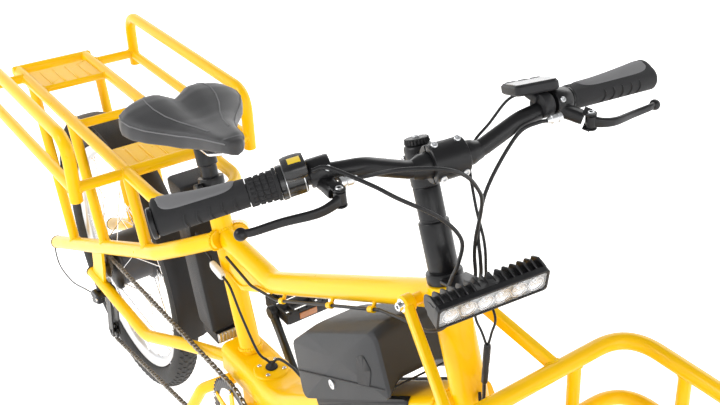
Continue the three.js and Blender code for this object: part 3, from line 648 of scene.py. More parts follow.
# %% Weld beads
def weld(start, end, radius, post, post_axis, post_radius, size=3.0, sides=72):
    """A bead where a tube meets a round post. Each line of the tube's surface, p + t d, is followed to where
    its distance from the post's axis equals the post's radius: the smaller root of a quadratic in t."""
    start, post, post_axis = np.asarray(start, float), np.asarray(post, float), unit(post_axis)
    direction = unit(np.asarray(end, float) - start)
    one = unit(np.cross(direction, [0, 1, 0] if abs(direction[1]) < 0.9 else [1, 0, 0]))
    other = np.cross(direction, one)
    ring = circle(radius, sides)
    p = start + ring[:, :1] * one + ring[:, 1:] * other - post
    d = direction - (direction @ post_axis) * post_axis
    p = p - (p @ post_axis)[:, None] * post_axis
    a, b, c = d @ d, 2 * p @ d, (p * p).sum(1) - post_radius**2
    root = (-b - np.sqrt(np.clip(b * b - 4 * a * c, 0, None))) / (2 * a)
    line = start + ring[:, :1] * one + ring[:, 1:] * other + root[:, None] * direction
    return ripple(line, size)


def ripple(line, size=3.0):
    """A closed bead along a loop of points, thick and thin in turn as the welder's puddles were laid."""
    line = np.asarray(line, float)
    length = np.linalg.norm(np.roll(line, -1, 0) - line, axis=1)
    place = np.concatenate([[0], np.cumsum(length)])
    rounds = max(int(place[-1] / 1.1), 24)
    share = np.linspace(0, place[-1], rounds, endpoint=False)
    path = np.stack([np.interp(share, place, np.append(line[:, i], line[0, i])) for i in range(3)], -1)
    size = size * (1 + 0.16 * np.sin(np.arange(rounds) * math.pi * 2 / 4))
    return carried(circle(1, 8), path, size, closed=True)


def collar(centre, axis, radius, size=2.6):
    """A bead in a flat ring round a tube."""
    axis = unit(axis)
    one = unit(np.cross(axis, np.eye(3)[np.argmin(abs(axis))]))
    ring = circle(radius, 64)
    return ripple(np.asarray(centre) + ring[:, :1] * one + ring[:, 1:] * np.cross(axis, one), size)


# %% Head tube, beam, top tube and seat tube
def framed(name, shell, node):
    """A yellow piece of the welded frame that stands for a packed tube."""
    return make(name, shell, YELLOW, "frame", "frame_paint", [node])


def ring_tube(start, end, outer, inner, lip=1.5, deep=30):
    """A tube open at both ends: out along the outside and back along the bore."""
    start, end = np.asarray(start, float), np.asarray(end, float)
    long = np.linalg.norm(end - start)
    profile = [[inner, 0], [outer - lip, 0], [outer, lip], [outer, long - lip], [outer - lip, long],
               [inner, long], [inner - 0.5, long - deep], [inner - 0.5, deep]]
    return turned(profile, start, end - start, 48, closed=True)


head = ring_tube(axis_at(200), axis_at(455), 25, 19)
head_rings = together([
    turned([[24, 0], [26.6, 1], [26.6, 13], [25, 16]], axis_at(200), AXIS_DOWN),
    turned([[25, 0], [26.6, 3], [26.6, 15], [24, 16]], axis_at(439), AXIS_DOWN),
])
framed("head_tube_skin", head + head_rings, "head_tube")
beam_line = bent(BEAM, 160, 16)
framed("down_tube_skin", carried(rounded(78, 68, 14), beam_line, up=[0, 1, 0]), "down_tube")
gusset_plate = slab(GUSSET, -12.5, 12.5, 2.5)
top_line = bent(TOP_TUBE, 90, 14)
framed("top_tube_skin", carried(circle(20, 32), top_line) + gusset_plate, "top_tube")
framed("seat_tube_skin", ring_tube(on_seat(436), on_seat(762), 20, 16.6), "seat_tube")

# %% Stays
stay_ends = []
for word, side in SIDES.items():
    framed("mid_stay_skin_" + word, pipe(mirrored(MID_STAY, side), 16.5, 90, 28), "mid_stay_" + word)
    plate = [[-1318, 300], [-1250, 300], [-1238, 345], [-1228, 396], [-1262, 388], [-1300, 366],
             [-1306, 330]]
    if side < 0:
        plate = [[-1318, 300], [-1304, 252], [-1280, 252], [-1262, 298]] + plate[1:]
    drop = slab(plate, side * 74.5 - 3.5, side * 74.5 + 3.5, 1.0)
    framed("chainstay_skin_" + word, pipe(mirrored(CHAINSTAY, side), 13, 120, 24) + drop,
           "chainstay_" + word)
    for line, radius in ((MID_STAY, 16.5), (CHAINSTAY, 13)):
        tip, before = (line[-1], line[-2]) if radius > 15 else (line[0], line[1])
        out = unit(np.array(tip, float) - before)
        start = np.array(tip) - out * 1.0
        profile = [[radius * 0.8, 0], [radius + 0.8, 0.5], [radius + 0.8, 5], [radius * 0.7, 8], [0.5, 9]]
        stay_ends.append(turned(profile, mirrored(start, side), mirrored(out, side), 28))
make("stay_end_caps", together(stay_ends), BLACK_PLASTIC, "frame", "black_plastic")

# %% The shell for the cranks, with the stand's mount
bottom = [-622, 0, 302]
shell_ring = turned(
    [[18, -35], [22, -35], [23, -34], [23, 34], [22, 35], [18, 35]], bottom, (0, 1, 0), 48, closed=True
)
web = block([-652, -24, 304], [-592, 24, 368], 3, 8)
stand_mount = block([-745, -19, 338], [-650, 19, 368], 2, 5)
framed("bottom_bracket_skin", shell_ring + web + stand_mount, "bottom_bracket_shell")

# %% Beads at each joint of the main frame
beads = [
    weld([-100, 0, 866.8], [-13.5, 0, 910], 20, axis_at(300), AXIS_DOWN, 25),
    weld([-560, 0, 663], [-690, 0, 668], 20, on_seat(600), SEAT_UP, 20),
    collar(on_seat(446), SEAT_UP, 20.5, 3.2),
    collar(axis_at(216), AXIS_DOWN, 25.4, 1.6),
]
beam_ring = rounded(79, 69, 14, 10)
beam_end = np.array([13.0, 0, 730.6])
beam_up = unit([-339, 0, 523])
beads.append(ripple(beam_end + beam_ring[:, :1] * [0, 1, 0] + beam_ring[:, 1:] * beam_up, 3.0))
for side in SIDES.values():
    beads.append(weld(mirrored([-760, 60, 635], side), mirrored([-685, 20, 674], side), 16.5,
                      on_seat(600), SEAT_UP, 20))
gusset_line = bent([[-500, 14, 652], [-560, 14, 634], [-628, 14, 596], [-676, 14, 606]], 60, 10)
for side in SIDES.values():
    beads.append(carried(circle(1.8, 8), mirrored(gusset_line, side)))
make("main_frame_welds", together(beads), WELD, "frame", "frame_paint")
print("main frame", count)

# %% [markdown]
# ## The carriers
# The rear carrier is a welded ladder of round tube over the wheel, with a hoop on each side that guards
# feet and holds straps. The front carrier is two rings joined by short posts, fixed to the head tube so
# that it doesn't turn with the bars. Open tube ends show their dark bore.

# %% Rear platform
RACK_TUBE = 12.6
RACK_Z = 725
PLATFORM = [[-1620, 82, RACK_Z], [-757, 82, RACK_Z], [-757, -82, RACK_Z], [-1620, -82, RACK_Z]]
HOOP_FRONT, HOOP_REAR, HOOP_Y = -948, -1563, 187
CROSS_TUBES = [(-1227, 10), (HOOP_FRONT, RACK_TUBE), (-1466, 8)]


def capped_bar(x, half, radius):
    """A cross tube with domed ends."""
    profile = [[radius * 0.5, -half - 3], [radius * 0.85, -half - 1.5], [radius, -half + 2],
               [radius, half - 2], [radius * 0.85, half + 1.5], [radius * 0.5, half + 3]]
    return turned(profile, [x, 0, RACK_Z], (0, 1, 0), 28)


def rack_sheet(rear, front):
    """A flat plate with two long slots' worth of pressed ribs, welded between the side tubes."""
    plate = block([rear, -70, RACK_Z - 1], [front, 70, RACK_Z + 3], 0.8, 4)
    ribs = [block([rear + 12, y - 3, RACK_Z + 2.4], [front - 14, y + 3, RACK_Z + 4.4], 0.8, 2.5)
            for y in (-45, -15, 15, 45)]
    return together([plate] + ribs)


platform = [pipe(PLATFORM, RACK_TUBE, 78, 28, 12), capped_bar(-1620, 93, RACK_TUBE)]
platform += [capped_bar(x, 80, radius) for x, radius in CROSS_TUBES]
platform += [rack_sheet(-1585, -1464), rack_sheet(-1060, HOOP_FRONT)]
framed("rack_platform_skin", together(platform), "rack_platform")

# %% Side hoops with open leg ends
def open_tube(corners, radius, bend, sides=28):
    """A bent tube with two open ends: the section goes in along the bore, turns at the lip and comes out."""
    line = bent(corners, bend, 12)
    start, end = unit(line[1] - line[0]), unit(line[-2] - line[-1])
    bore = radius - 2
    head_end = [line[0] + start * 45, line[0] + start * 0.02, line[0], line[0] + start * 0.5]
    tail_end = [line[-1] + end * 0.5, line[-1], line[-1] + end * 0.02, line[-1] + end * 45]
    points = np.vstack([head_end, line[1:-1], tail_end])
    size = np.concatenate([[bore, bore, radius - 0.6, radius], np.full(len(line) - 2, radius),
                           [radius, radius - 0.6, bore, bore]])
    safe = np.vstack([[line[0] - start, line[0] - start * 0.5], line, [line[-1] - end]])
    _, one, other = frames(safe)
    one = np.vstack([np.repeat(one[1:2], 4, 0), one[3:-2], np.repeat(one[-1:], 4, 0)])
    other = np.vstack([np.repeat(other[1:2], 4, 0), other[3:-2], np.repeat(other[-1:], 4, 0)])
    ring = circle(1, sides)
    surface = points[:, None] + size[:, None, None] * (
        ring[None, :, :1] * one[:, None] + ring[None, :, 1:] * other[:, None])
    return grid(surface)


HOOP = [[HOOP_REAR, HOOP_Y, 696], [HOOP_REAR, HOOP_Y, 828], [HOOP_FRONT, HOOP_Y, 828],
        [HOOP_FRONT, HOOP_Y, 696]]
rack_beads = []


def rack_bead(side, start, end, radius, axis, size=2.0):
    """A bead where a tube from start ends on one of the rack's main tubes, which runs along the axis."""
    start, end = mirrored(start, side), mirrored(end, side)
    rack_beads.append(weld(start, end, radius, end, axis, RACK_TUBE, size))


for word, side in SIDES.items():
    hoop = [
        open_tube(mirrored(HOOP, side), RACK_TUBE, 50),
        pipe(mirrored([[HOOP_REAR, HOOP_Y, 721], [HOOP_FRONT, HOOP_Y, 721]], side), 11),
    ]
    for x in (HOOP_FRONT, HOOP_REAR):
        hoop.append(pipe(mirrored([[x, 82, RACK_Z], [x, HOOP_Y, RACK_Z]], side), 11))
        inward = 40 if x == HOOP_REAR else -40
        rack_bead(side, [x, 150, RACK_Z], [x, HOOP_Y, RACK_Z], 11, [0, 0, 1])
        rack_bead(side, [x, 130, RACK_Z], [x, 82, RACK_Z], 11, [1, 0, 0])
        rack_bead(side, [x + inward, HOOP_Y, 721], [x, HOOP_Y, 721], 11, [0, 0, 1])
    framed("side_hoop_skin_" + word, together(hoop), "side_hoop_" + word)

# %% Uprights from the stays to the platform
UPRIGHTS = {"rear": (-1432, -1530), "mid": (-1192, -1269), "front": (-918, -958)}
stay_line = unit(np.array([-1600, 75, 243]) - [-860, 75, 580])
for place, (foot, top) in UPRIGHTS.items():
    foot_z = 580 - 0.4554 * (-860 - foot)
    for word, side in SIDES.items():
        ends = mirrored([[foot, 75, foot_z], [top, 79, RACK_Z]], side)
        framed(f"rack_upright_skin_{place}_{word}", pipe(ends, 11.5), f"rack_upright_{place}_{word}")
        rack_beads.append(weld(ends.mean(0), ends[0], 11.5, mirrored([-860, 75, 580], side),
                               mirrored(stay_line, side), 16.5, 2.2))
        rack_beads.append(weld(ends.mean(0), ends[1], 11.5, ends[1] + [0, side * 3, 0], [1, 0, 0],
                               RACK_TUBE, 2.0))
for x, radius in CROSS_TUBES:
    for side in SIDES.values():
        rack_bead(side, [x, 0, RACK_Z], [x, 82, RACK_Z], radius, [1, 0, 0], 1.8)
make("rear_rack_welds", together(rack_beads), WELD, "frame", "frame_paint")

# %% Front carrier
BASKET = {"rear": 107, "front": 467, "half": 219, "top": 818, "low": 720}


def carrier_ring(z, radius):
    """A level rectangle of tube with round corners, one closed loop."""
    rear, front, half = BASKET["rear"], BASKET["front"], BASKET["half"]
    middle = (rear + front) / 2
    loop = [[middle, -half, z], [front, -half, z], [front, half, z], [rear, half, z], [rear, -half, z],
            [middle, -half, z]]
    return carried(circle(radius, 28), bent(loop, 60, 12)[:-1], closed=True, up=[0, 0, 1])


posts, post_beads = [], []
for x, y in ((107, 119), (213, 219), (370, 219), (467, 119)):
    for side in SIDES.values():
        posts.append(pipe([[x, side * y, BASKET["low"]], [x, side * y, BASKET["top"]]], 9.5, sides=20))
        run = [1, 0, 0] if y == 219 else [0, 1, 0]
        for level, ring_radius in ((BASKET["top"], 12), (BASKET["low"], 10.5)):
            end = [x, side * y, level]
            post_beads.append(weld([x, side * y, 770], end, 9.5, end, run, ring_radius, 1.7, 40))
slats = [block([107, y - 11, 721], [467, y + 11, 727], 1.2, 3) for y in (-120, -40, 40, 120)]
tongue = block([60, -16, 715], [107, 16, 725], 1.5, 3)
framed("front_rack_upper_skin", carrier_ring(BASKET["top"], 12), "front_rack_upper_ring")
framed("front_rack_lower_skin", together([carrier_ring(BASKET["low"], 10.5)] + posts + slats + [tongue]),
       "front_rack_lower_ring")

# %% Struts from the head tube to the front carrier, with their bolts
strut_bolts = []
for word, side in SIDES.items():
    strut = carried(rounded(19, 13, 4), mirrored(np.array([[-51, 41, 892.0], [107, 89, 818]]), side),
                    up=[0, 0, 1])
    eye = turned([[11, 33], [13, 34.5], [13, 47.5], [11, 49]], [-51, 0, 892], (0, side, 0), 28)
    boss = rod([-51, 12, 892], [-51, side * 45, 892], 8.5)
    framed("front_rack_strut_skin_" + word, together([strut, eye, boss]), "front_rack_strut_" + word)
    head_ring = [[2.6, 51.0], [2.6, 56.5], [4.6, 57.4], [6.0, 56.4], [6.4, 54], [6.4, 50.4], [9.5, 50],
                 [9.5, 48.5]]
    strut_bolts.append(turned(head_ring, [-51, 0, 892], (0, side, 0), 24))
    foot = mirrored([107, 89, 818], side)
    post_beads.append(weld(mirrored([40, 68.6, 849.4], side), foot, 9, foot, [0, 1, 0], 12, 2.0, 40))
make("front_rack_welds", together(post_beads), WELD, "frame", "frame_paint")
make("front_rack_strut_bolts", together(strut_bolts), BRIGHT, "frame", "bright_steel")
print("carriers", count)

# %% [markdown]
# ## What steers
# The fork, column, stem, bars and all that they carry are drawn with straight bars and turned with them.
# On the bar's outer run a place is given by its distance from the middle, then up and ahead of the tube.

# %% Helpers for the steering parts
BAR_Z = 1117
HUB_Z = 335 * math.cos(math.pi / 40)
FRONT_HUB = np.array([238.0, 0.0, HUB_Z])


def on_bar(y, side, up=0.0, ahead=0.0):
    """A point by the bar's outer run."""
    share = (y - 180) / 151
    return np.array([-14 - 26 * share + ahead, side * y, BAR_Z + 26 - 19 * share + up])


def bar_directions(side):
    """Unit vectors outwards along the bar's outer run, ahead of it and up from it."""
    out = unit(on_bar(300, side) - on_bar(180, side))
    ahead = unit(np.array([1, 0, 0]) - out[0] * out)
    return out, ahead, np.cross(ahead, out) * side


def bar_ring(profile, side, sides=36):
    """A profile of [radius, distance of y from the bar's middle] turned about the bar's outer run."""
    start = on_bar(180, side)
    axis = unit(on_bar(300, side) - start)
    stretch = 1 / abs(axis[1])
    return turned([[r, (y - 180) * stretch] for r, y in profile], start, axis, sides)


def steering(name, shell, finish, slot, *nodes, body="steering"):
    """A piece that turns with the bars."""
    return make(name, shell, finish, body, slot, nodes, turned_bars=True)


def screw(place, axis, radius=4.0, height=4.0, socket=0.55):
    """A socket head: a rounded cylinder with a sunk well in its top."""
    r = radius
    well = r * socket
    profile = [[r * 0.9, -1], [r, 0], [r, height - 0.8], [r - 0.8, height], [well, height],
               [well * 0.95, height - 2.2], [0.3, height - 2.4]]
    return turned(profile, place, axis, 20)


def band(inner, outer, angles, low, high, centre, steps=20):
    """A part of a ring about the y axis, between two radii, two angles in degrees and two widths."""
    angle = np.radians(np.linspace(*angles, steps + 1))
    out = np.stack([np.cos(angle), 0 * angle, np.sin(angle)], -1)
    side = np.array([0, 1, 0])
    edge = 1.0
    ring = [(inner, low + edge), (inner, high - edge), (inner + edge, high), (outer - edge, high),
            (outer, high - edge), (outer, low + edge), (outer - edge, low), (inner + edge, low)]
    points = np.stack([centre + r * out + y * side for r, y in ring], 1)
    return grid(points)


# %% Fork
crown_line = np.linspace(axis_at(474, -16), axis_at(474, 61), 6)
fork = [
    rod(axis_at(190), axis_at(486), 14, 28),
    turned([[14, 0], [26, 0.5], [27, 2], [27, 7], [24, 9], [14, 9]], axis_at(455.5), AXIS_DOWN, 40),
    carried(rounded(166, 24, 9), crown_line, [0.9, 0.98, 1, 1, 0.98, 0.92], up=[0, 1, 0]),
]
for side in SIDES.values():
    leg = [[12, 0], [15, 1.5], [15.5, 4], [15.5, 120], [17, 124], [17, 330], [15.5, 342], [13, 352],
           [9, 357]]
    fork.append(turned(leg, axis_at(462, 46, side * 68), AXIS_DOWN, 32))
    tab = [[185, 400], [215, 400], [250, 350], [252, 322], [238, 316], [224, 318], [205, 332]]
    fork.append(slab(tab, side * 56.8 - 3.2, side * 56.8 + 3.2, 1))
    fork.append(rod(FRONT_HUB + [0, side * 60.5, 0], FRONT_HUB + [0, side * 66, 0], 9, 24))
steering("fork_skin", together(fork), BLACK_METAL, "black_metal", "fork")
caliper = together([
    block([206, 44.3, HUB_Z + 70], [240, 62, HUB_Z + 98], 2, 5),
    block([206, 36, HUB_Z + 70], [240, 39.6, HUB_Z + 98], 1, 3),
    block([209, 37, HUB_Z + 86], [237, 58, HUB_Z + 99], 2, 4),
])
steering("front_caliper_body", caliper, BLACK_METAL, "black_metal", "front_brake_caliper")
caliper_screws = [screw([x, 61.5, HUB_Z + 77], (0, 1, 0), 3.4, 3) for x in (212, 234)]
steering("front_caliper_screws", together(caliper_screws), BRIGHT, "bright_steel")

# %% Column, stem and its screws
column = [[12, 69], [17.2, 69], [18, 70], [18, 112], [17, 113], [17, 115], [19.6, 116], [20.5, 117.5],
          [20.5, 180], [19.6, 182], [19.6, 184], [24, 184.6], [25, 186.5], [25, 197.5], [24.2, 199.3],
          [15, 199.4]]
steering("column_skin", turned(column, AXIS_TOP, AXIS_DOWN, 48), BLACK_METAL, "black_metal",
         "steering_column")
neck_line = np.linspace(axis_at(42, 8), [-16, 0, BAR_Z - 1], 8)
neck_size = [1.04, 1.0, 0.96, 0.93, 0.93, 0.95, 1.0, 1.04]
stem = [
    turned([[8, 12.5], [15, 13], [18, 15], [19, 18], [19, 66], [18.2, 68], [8, 68]], AXIS_TOP, AXIS_DOWN,
           40),
    carried(rounded(34, 33, 9), neck_line, neck_size, up=[0, 1, 0]),
    band(16.1, 24, (112, 308), -24, 24, np.array([0, 0, BAR_Z])),
    band(16.1, 24.4, (-46, 106), -23.5, 23.5, np.array([0, 0, BAR_Z])),
]
cap = []
for tooth in range(24):
    angle = tooth * math.pi / 12
    out = math.cos(angle) * AXIS_AHEAD + math.sin(angle) * np.array([0, 1, 0])
    cap.append(rod(axis_at(12.5) + out * 15.5, axis_at(5.5) + out * 14.5, 1.7, 8, 0.5))
cap.append(turned([[15.6, 12.8], [15.2, 6.5], [13.5, 5], [1, 5]], AXIS_TOP, AXIS_DOWN, 36))
steering("stem_skin", together(stem + cap), BLACK_METAL, "black_metal", "stem")
stem_screws = []
for angle in (-28, 88):
    for y in (-15.5, 15.5):
        out = np.array([math.cos(math.radians(angle)), 0, math.sin(math.radians(angle))])
        lean = unit(out + 0.9 * np.array([math.cos(math.radians(30)), 0, 0.5]))
        stem_screws.append(screw(np.array([0, y, BAR_Z]) + out * 23.0, lean, 4.2, 5))
for down in (30, 54):
    stem_screws.append(screw(axis_at(down, -12, -16), (0, -1, 0), 4, 4))
stem_screws.append(screw(axis_at(6), -AXIS_DOWN, 4.5, 3.5))
steering("stem_screws", together(stem_screws), ALLOY, "bright_steel")

# %% Bar
BAR = [[-40, -331, 7], [-14, -180, 26], [-2, -105, 23], [0, -46, 0],
       [0, 46, 0], [-2, 105, 23], [-14, 180, 26], [-40, 331, 7]]
bar_line = [[x, y, BAR_Z + z] for x, y, z in BAR]
bulge = [[11.2, -48], [13, -42], [15.6, -35], [15.9, -32], [15.9, 32], [15.6, 35], [13, 42], [11.2, 48]]
bar = pipe(bar_line, 11.1, 60, 28, 12) + turned(bulge, [0, 0, BAR_Z], (0, 1, 0), 32)
steering("bar_skin", bar, BLACK_METAL, "black_metal", "handlebar")
print("fork, stem and bar", count)

# %% [markdown]
# ### Grips
# Each grip is a winged shape: the section grows a lobe towards the rider at its outer end. A softer grey pad
# lies on its upper face, five raised crescents on its front stop the fingers, and a ring locks it.

# %% Grips
GRIP_STARTS = {"right": 238, "left": 188}


def grip_surface(side, start, share, angle, lift=0.0):
    """A point of the grip: share 0 to 1 along it, angle 0 ahead, 90 up and 180 towards the rider."""
    y = start + share * (336 - start)
    wing = 3 + 15 * np.clip(share - 0.25, 0, 1) ** 1.4
    lobe = np.clip(np.cos(angle - math.radians(158)), 0, 1) ** 2 * wing
    radius = 15.6 + 1.2 * share + lobe + lift
    _, ahead, up = bar_directions(side)
    return (on_bar(0, side) + y[..., None] * (on_bar(1, side) - on_bar(0, side))
            + radius[..., None] * (np.cos(angle)[..., None] * ahead + np.sin(angle)[..., None] * up))


def grip_patch(side, start, shares, angles, lift, rows, columns):
    """A raised patch that lies on the grip, rounded off at its corners."""
    v, u = np.meshgrid(np.linspace(-1, 1, rows), np.linspace(-1, 1, columns), indexing="ij")
    narrow = (1 - np.abs(v) ** 6) ** 0.5
    share = shares[0] + (v + 1) / 2 * (shares[1] - shares[0])
    middle, half = sum(angles) / 2, (angles[1] - angles[0]) / 2
    angle = np.radians(middle + half * u * narrow)
    dome = lift * np.clip((1 - u**6) * (1 - v**10), 0, 1) ** 0.5
    top = grip_surface(side, start, share, angle, dome)
    under = grip_surface(side, start, share, angle, -2.0 + 0 * dome)
    return grid(np.concatenate([top, under[:, ::-1]], axis=1))


for word, side in SIDES.items():
    start = GRIP_STARTS[word]
    share, angle = np.meshgrid(np.linspace(0, 1, 40), np.linspace(0, 2 * math.pi, 48, endpoint=False),
                               indexing="ij")
    skin = grip_surface(side, start, share, angle)
    middle = skin.mean(1, keepdims=True)
    inner = middle[0] + (skin[0] - middle[0]) * 0.9
    outer = middle[-1] + (skin[-1] - middle[-1]) * np.array([0.95, 0.8, 0.5])[:, None, None]
    out, _, _ = bar_directions(side)
    outer = outer + np.array([2.0, 4.0, 5.0])[:, None, None] * out
    crescents = []
    for number in range(5):
        place = 0.12 + 0.14 * number if word == "right" else 0.3 + 0.11 * number
        bow = np.radians(np.linspace(-42, 30, 14))
        along = place + 0.045 * np.cos(bow * 1.8)
        line = grip_surface(side, start, along, bow, 0.1)
        crescents.append(carried(circle(1.5, 8), line,
                                 np.sin(np.linspace(0.25, math.pi - 0.25, 14)) ** 0.5))
    body = grid(np.concatenate([inner[None], skin, outer])) + together(crescents)
    steering("grip_skin_" + word, body, RUBBER, "grip_rubber", "grip_" + word)
    pad = grip_patch(side, start, (0.1, 0.97), (62, 176), 1.4, 40, 24)
    steering("grip_pad_" + word, pad, GREY_RUBBER, "grey_rubber")
    ring = [[11.4, 184], [15, 184.1], [15.8, 184.8], [15.8, 187.2], [11.4, 187.6]]
    if word == "right":
        ring = [[12, 339], [17.4, 339.4], [18.2, 340.4], [18.2, 344], [17, 345], [9, 345.4], [8, 344],
                [0.5, 343.8]]
    ring = bar_ring(ring, side)
    steering("grip_lock_" + word, ring, BLACK_METAL, "black_metal")

# %% Twist grip and shifter
TWIST_ROWS = [(203, 13, 0), (203, 19.4, 0), (206.5, 19.4, 0), (207, 17.4, 0), (208, 16.6, 1), (213, 16.9, 1),
              (213.3, 16.2, 0), (214.6, 16.2, 0), (215, 16.9, 1), (220, 16.6, 1), (220.3, 15.9, 0),
              (221.6, 15.9, 0), (222, 16.6, 1), (227, 16.2, 1), (227.3, 15.6, 0), (228.6, 15.6, 0),
              (229, 16.2, 1), (233.5, 16, 1), (234, 16.8, 0), (237, 17, 0), (237.4, 13, 0)]
TWIST_SIDES = 144
rib_angle = np.arange(TWIST_SIDES) * 2 * math.pi / TWIST_SIDES
ribs = 1 + 0.055 * (np.arange(TWIST_SIDES) % 8 < 5)
_, ahead, up = bar_directions(-1)
rows = []
for y, radius, ribbed in TWIST_ROWS:
    swell = ribs if ribbed else np.ones(TWIST_SIDES)
    rows.append(on_bar(y, -1) + radius * swell[:, None]
                * (np.cos(rib_angle)[:, None] * ahead - np.sin(rib_angle)[:, None] * up))
steering("twist_grip_skin", grid(np.array(rows)), RUBBER, "grip_rubber", "twist_shifter", body="twist_grip")
drum = bar_ring([[13, 172.6], [18, 173], [19.3, 175], [19.3, 196], [20.4, 196.6], [20.4, 201.6],
                 [19, 202.3], [13, 202.4]],
                -1, 48)
hump_line = np.linspace(on_bar(174, -1, 19, 8), on_bar(199, -1, 19, 8), 6)
hump = carried(rounded(36, 20, 7), hump_line, [0.9, 0.98, 1, 1, 0.98, 0.9], up=[1, 0, 0])
steering("shifter_skin", drum + hump, GLOSS_BLACK, "black_plastic", "shifter_body")
window_line = np.linspace(on_bar(179, -1, 25, 10), on_bar(193, -1, 25, 10), 4)
steering("shifter_window", carried(rounded(15, 9.4, 3), window_line, up=[1, 0, 0]), YELLOW_PLASTIC,
         "grip_rubber")
seams = [bar_ring([[19.2, y], [20.0, y + 0.4], [20.0, y + 1.2], [19.2, y + 1.6]], -1, 48)
         for y in (174.5, 194.5)]
steering("shifter_bright_rings", together(seams), ALLOY, "bright_steel")
print("grips and shifter", count)

# %% [markdown]
# ### Brake levers and display
# A band holds each lever's body to the bar. The blade bows out from its pin to a ball that keeps fingers on
# it. The display stands on a short neck over the left side, tilted up towards the rider.

# %% Brake bodies and levers
BRAKES = {
    "right": {"at": 156, "pin": 150, "reach": 262, "tip": (-17, 50)},
    "left": {"at": 170, "pin": 196, "reach": 301, "tip": (-13, 52)},
}
BARREL = [[4, 0], [6.4, 0.5], [6.4, 5], [5.2, 5.6], [5.2, 7], [6.2, 7.6], [6.2, 15], [4.5, 17], [3.2, 21]]
barrels, pins = [], []
for word, side in SIDES.items():
    at, pin, reach, tip = (BRAKES[word][key] for key in ("at", "pin", "reach", "tip"))
    root, hinge = on_bar(at, side, -8, 8), on_bar(pin, side, -17, 40)
    arm_end = hinge - unit(hinge - root) * 10
    clamp = bar_ring([[11.4, at - 13], [16, at - 12.8], [17, at - 11.5], [17, at + 11.5], [16, at + 12.8],
                      [11.4, at + 13]], side)
    arm = carried(rounded(17, 19, 6), np.linspace(root, arm_end, 5), [1.1, 1.05, 1.0, 1.0, 0.94],
                  up=[0, 0, 1])
    ear = []
    for low in (-11.4, 9.2):
        ear.append(carried(rounded(15, 2.4, 1), np.linspace(arm_end, hinge, 3) + [0, 0, low + 1.2],
                           up=[0, 1, 0]))
        ear.append(rod(hinge + [0, 0, low], hinge + [0, 0, low + 2.4], 7.8, 24))
    steering("brake_body_" + word, together([clamp, arm] + ear), BLACK_METAL, "black_metal",
             "brake_bracket_" + word)
    bow = ((0, -17, 41), (0.11, -18, 50), (0.3, -18, 56), (0.62, -17, 53), (0.9, tip[0], tip[1] + 3),
           (1, *tip))
    blade_line = smooth([on_bar(pin + share * (reach - pin), side, up, ahead) for share, up, ahead in bow],
                        8)
    share = np.linspace(0, 1, len(blade_line))
    width = 0.72 + 0.35 * (1 - share) ** 2
    blade = carried(rounded(14, 8, 3.6), blade_line, width, up=[0, 0, 1])
    ball_angle = np.linspace(0.15, math.pi - 0.15, 12)
    ball = turned(np.stack([7.5 * np.sin(ball_angle), -7.5 * np.cos(ball_angle)], -1),
                  on_bar(reach + 2, side, *tip), (0, 1, 0), 24)
    knuckle = rod(on_bar(pin, side, -25, 40), on_bar(pin, side, -9, 40), 7.4, 24)
    steering("brake_blade_" + word, together([blade, ball, knuckle]), BLACK_METAL, "black_metal",
             "brake_lever_" + word, body="brake_lever_" + word)
    barrels.append(turned(BARREL, on_bar(at - 13, side, -9, 24), np.array([0, -side, 0]), 24))
    pins.append(screw(hinge + [0, 0, 10.5], (0, 0, 1), 4.6, 2.6))
    pins.append(screw(on_bar(at, side, -15, -9), (-0.4, 0, -1), 3.8, 3.4))
    pins.append(screw(on_bar(at - 4, side, 9, 16), (0.7, 0, 0.7), 3.6, 3.0))
steering("brake_barrels", together(barrels), ALLOY, "bright_steel")
steering("brake_pins", together(pins), ALLOY, "bright_steel")

# %% Display
MIDDLE = np.array([-35, 142, BAR_Z + 47.5])
ALONG = np.array([0.931, -0.148, 0.334])
ACROSS = unit(np.cross([0, 0, 1], ALONG))
LIFT = np.cross(ALONG, ACROSS)


def tablet(width, depth, corner, low, high, edge, centre=(0, 0)):
    """A rounded tablet on the display's own axes, between two heights."""
    section = rounded(width, depth, corner) + centre
    flat = slab(section, low, high, edge, across=2)
    return flat.moved(lambda p: MIDDLE + p[:, :1] * ACROSS + p[:, 1:2] * ALONG + p[:, 2:] * LIFT)


band_profile = [[11.4, 136], [15.6, 136.3], [16.4, 137.5], [16.4, 150.5], [15.6, 151.7], [11.4, 152]]
neck = carried(rounded(20, 16, 5), np.linspace(on_bar(144, 1, 8, -2), MIDDLE - 6 * LIFT, 4), up=[0, 1, 0])
housing = tablet(60, 61, 8, -7.8, 5.5, 2.5)
steering("display_case", together([housing, neck, bar_ring(band_profile, 1)]), BLACK_PLASTIC,
         "black_plastic", "display_unit")
steering("display_glass", tablet(55, 42, 4, 5.0, 6.6, 0.5, (0, 7)), GLOSS_BLACK, "black_plastic")
keys = [tablet(14, 8, 3, 5.0, 6.9, 0.7, (x, -21)) for x in (-17, 0, 17)]
steering("display_keys", together(keys), GREY_RUBBER, "grey_rubber")
print("levers and display", count)

# %% [markdown]
# ### Headlight
# The lamp is a wide finned casting, open in front. Six round reflectors stand in a pale liner behind a clear
# cover, and the fins on its back carry heat away from them.

# %% Headlight
FINS_A_SIDE = 7
FIN_PITCH = 10.6
REFLECTORS = 6
REFLECTOR_PITCH = 23.4
CUP = [[1.5, 0.4], [6, 1.2], [9, 3.0], [10.6, 5.6], [11.3, 5.6], [11.3, 3.4], [9.5, 0.2], [1.5, -0.4]]
DIODE = [[2.6, 0], [2.6, 2.2], [1.6, 3.4], [0.3, 3.7]]
LAMP_TOP = np.array([112.0, 0.0, BAR_Z - 123])
TILT = math.radians(14)
LAMP_BACK = np.array([-math.cos(TILT), 0, math.sin(TILT)])
LAMP_DOWN = np.array([-math.sin(TILT), 0, -math.cos(TILT)])


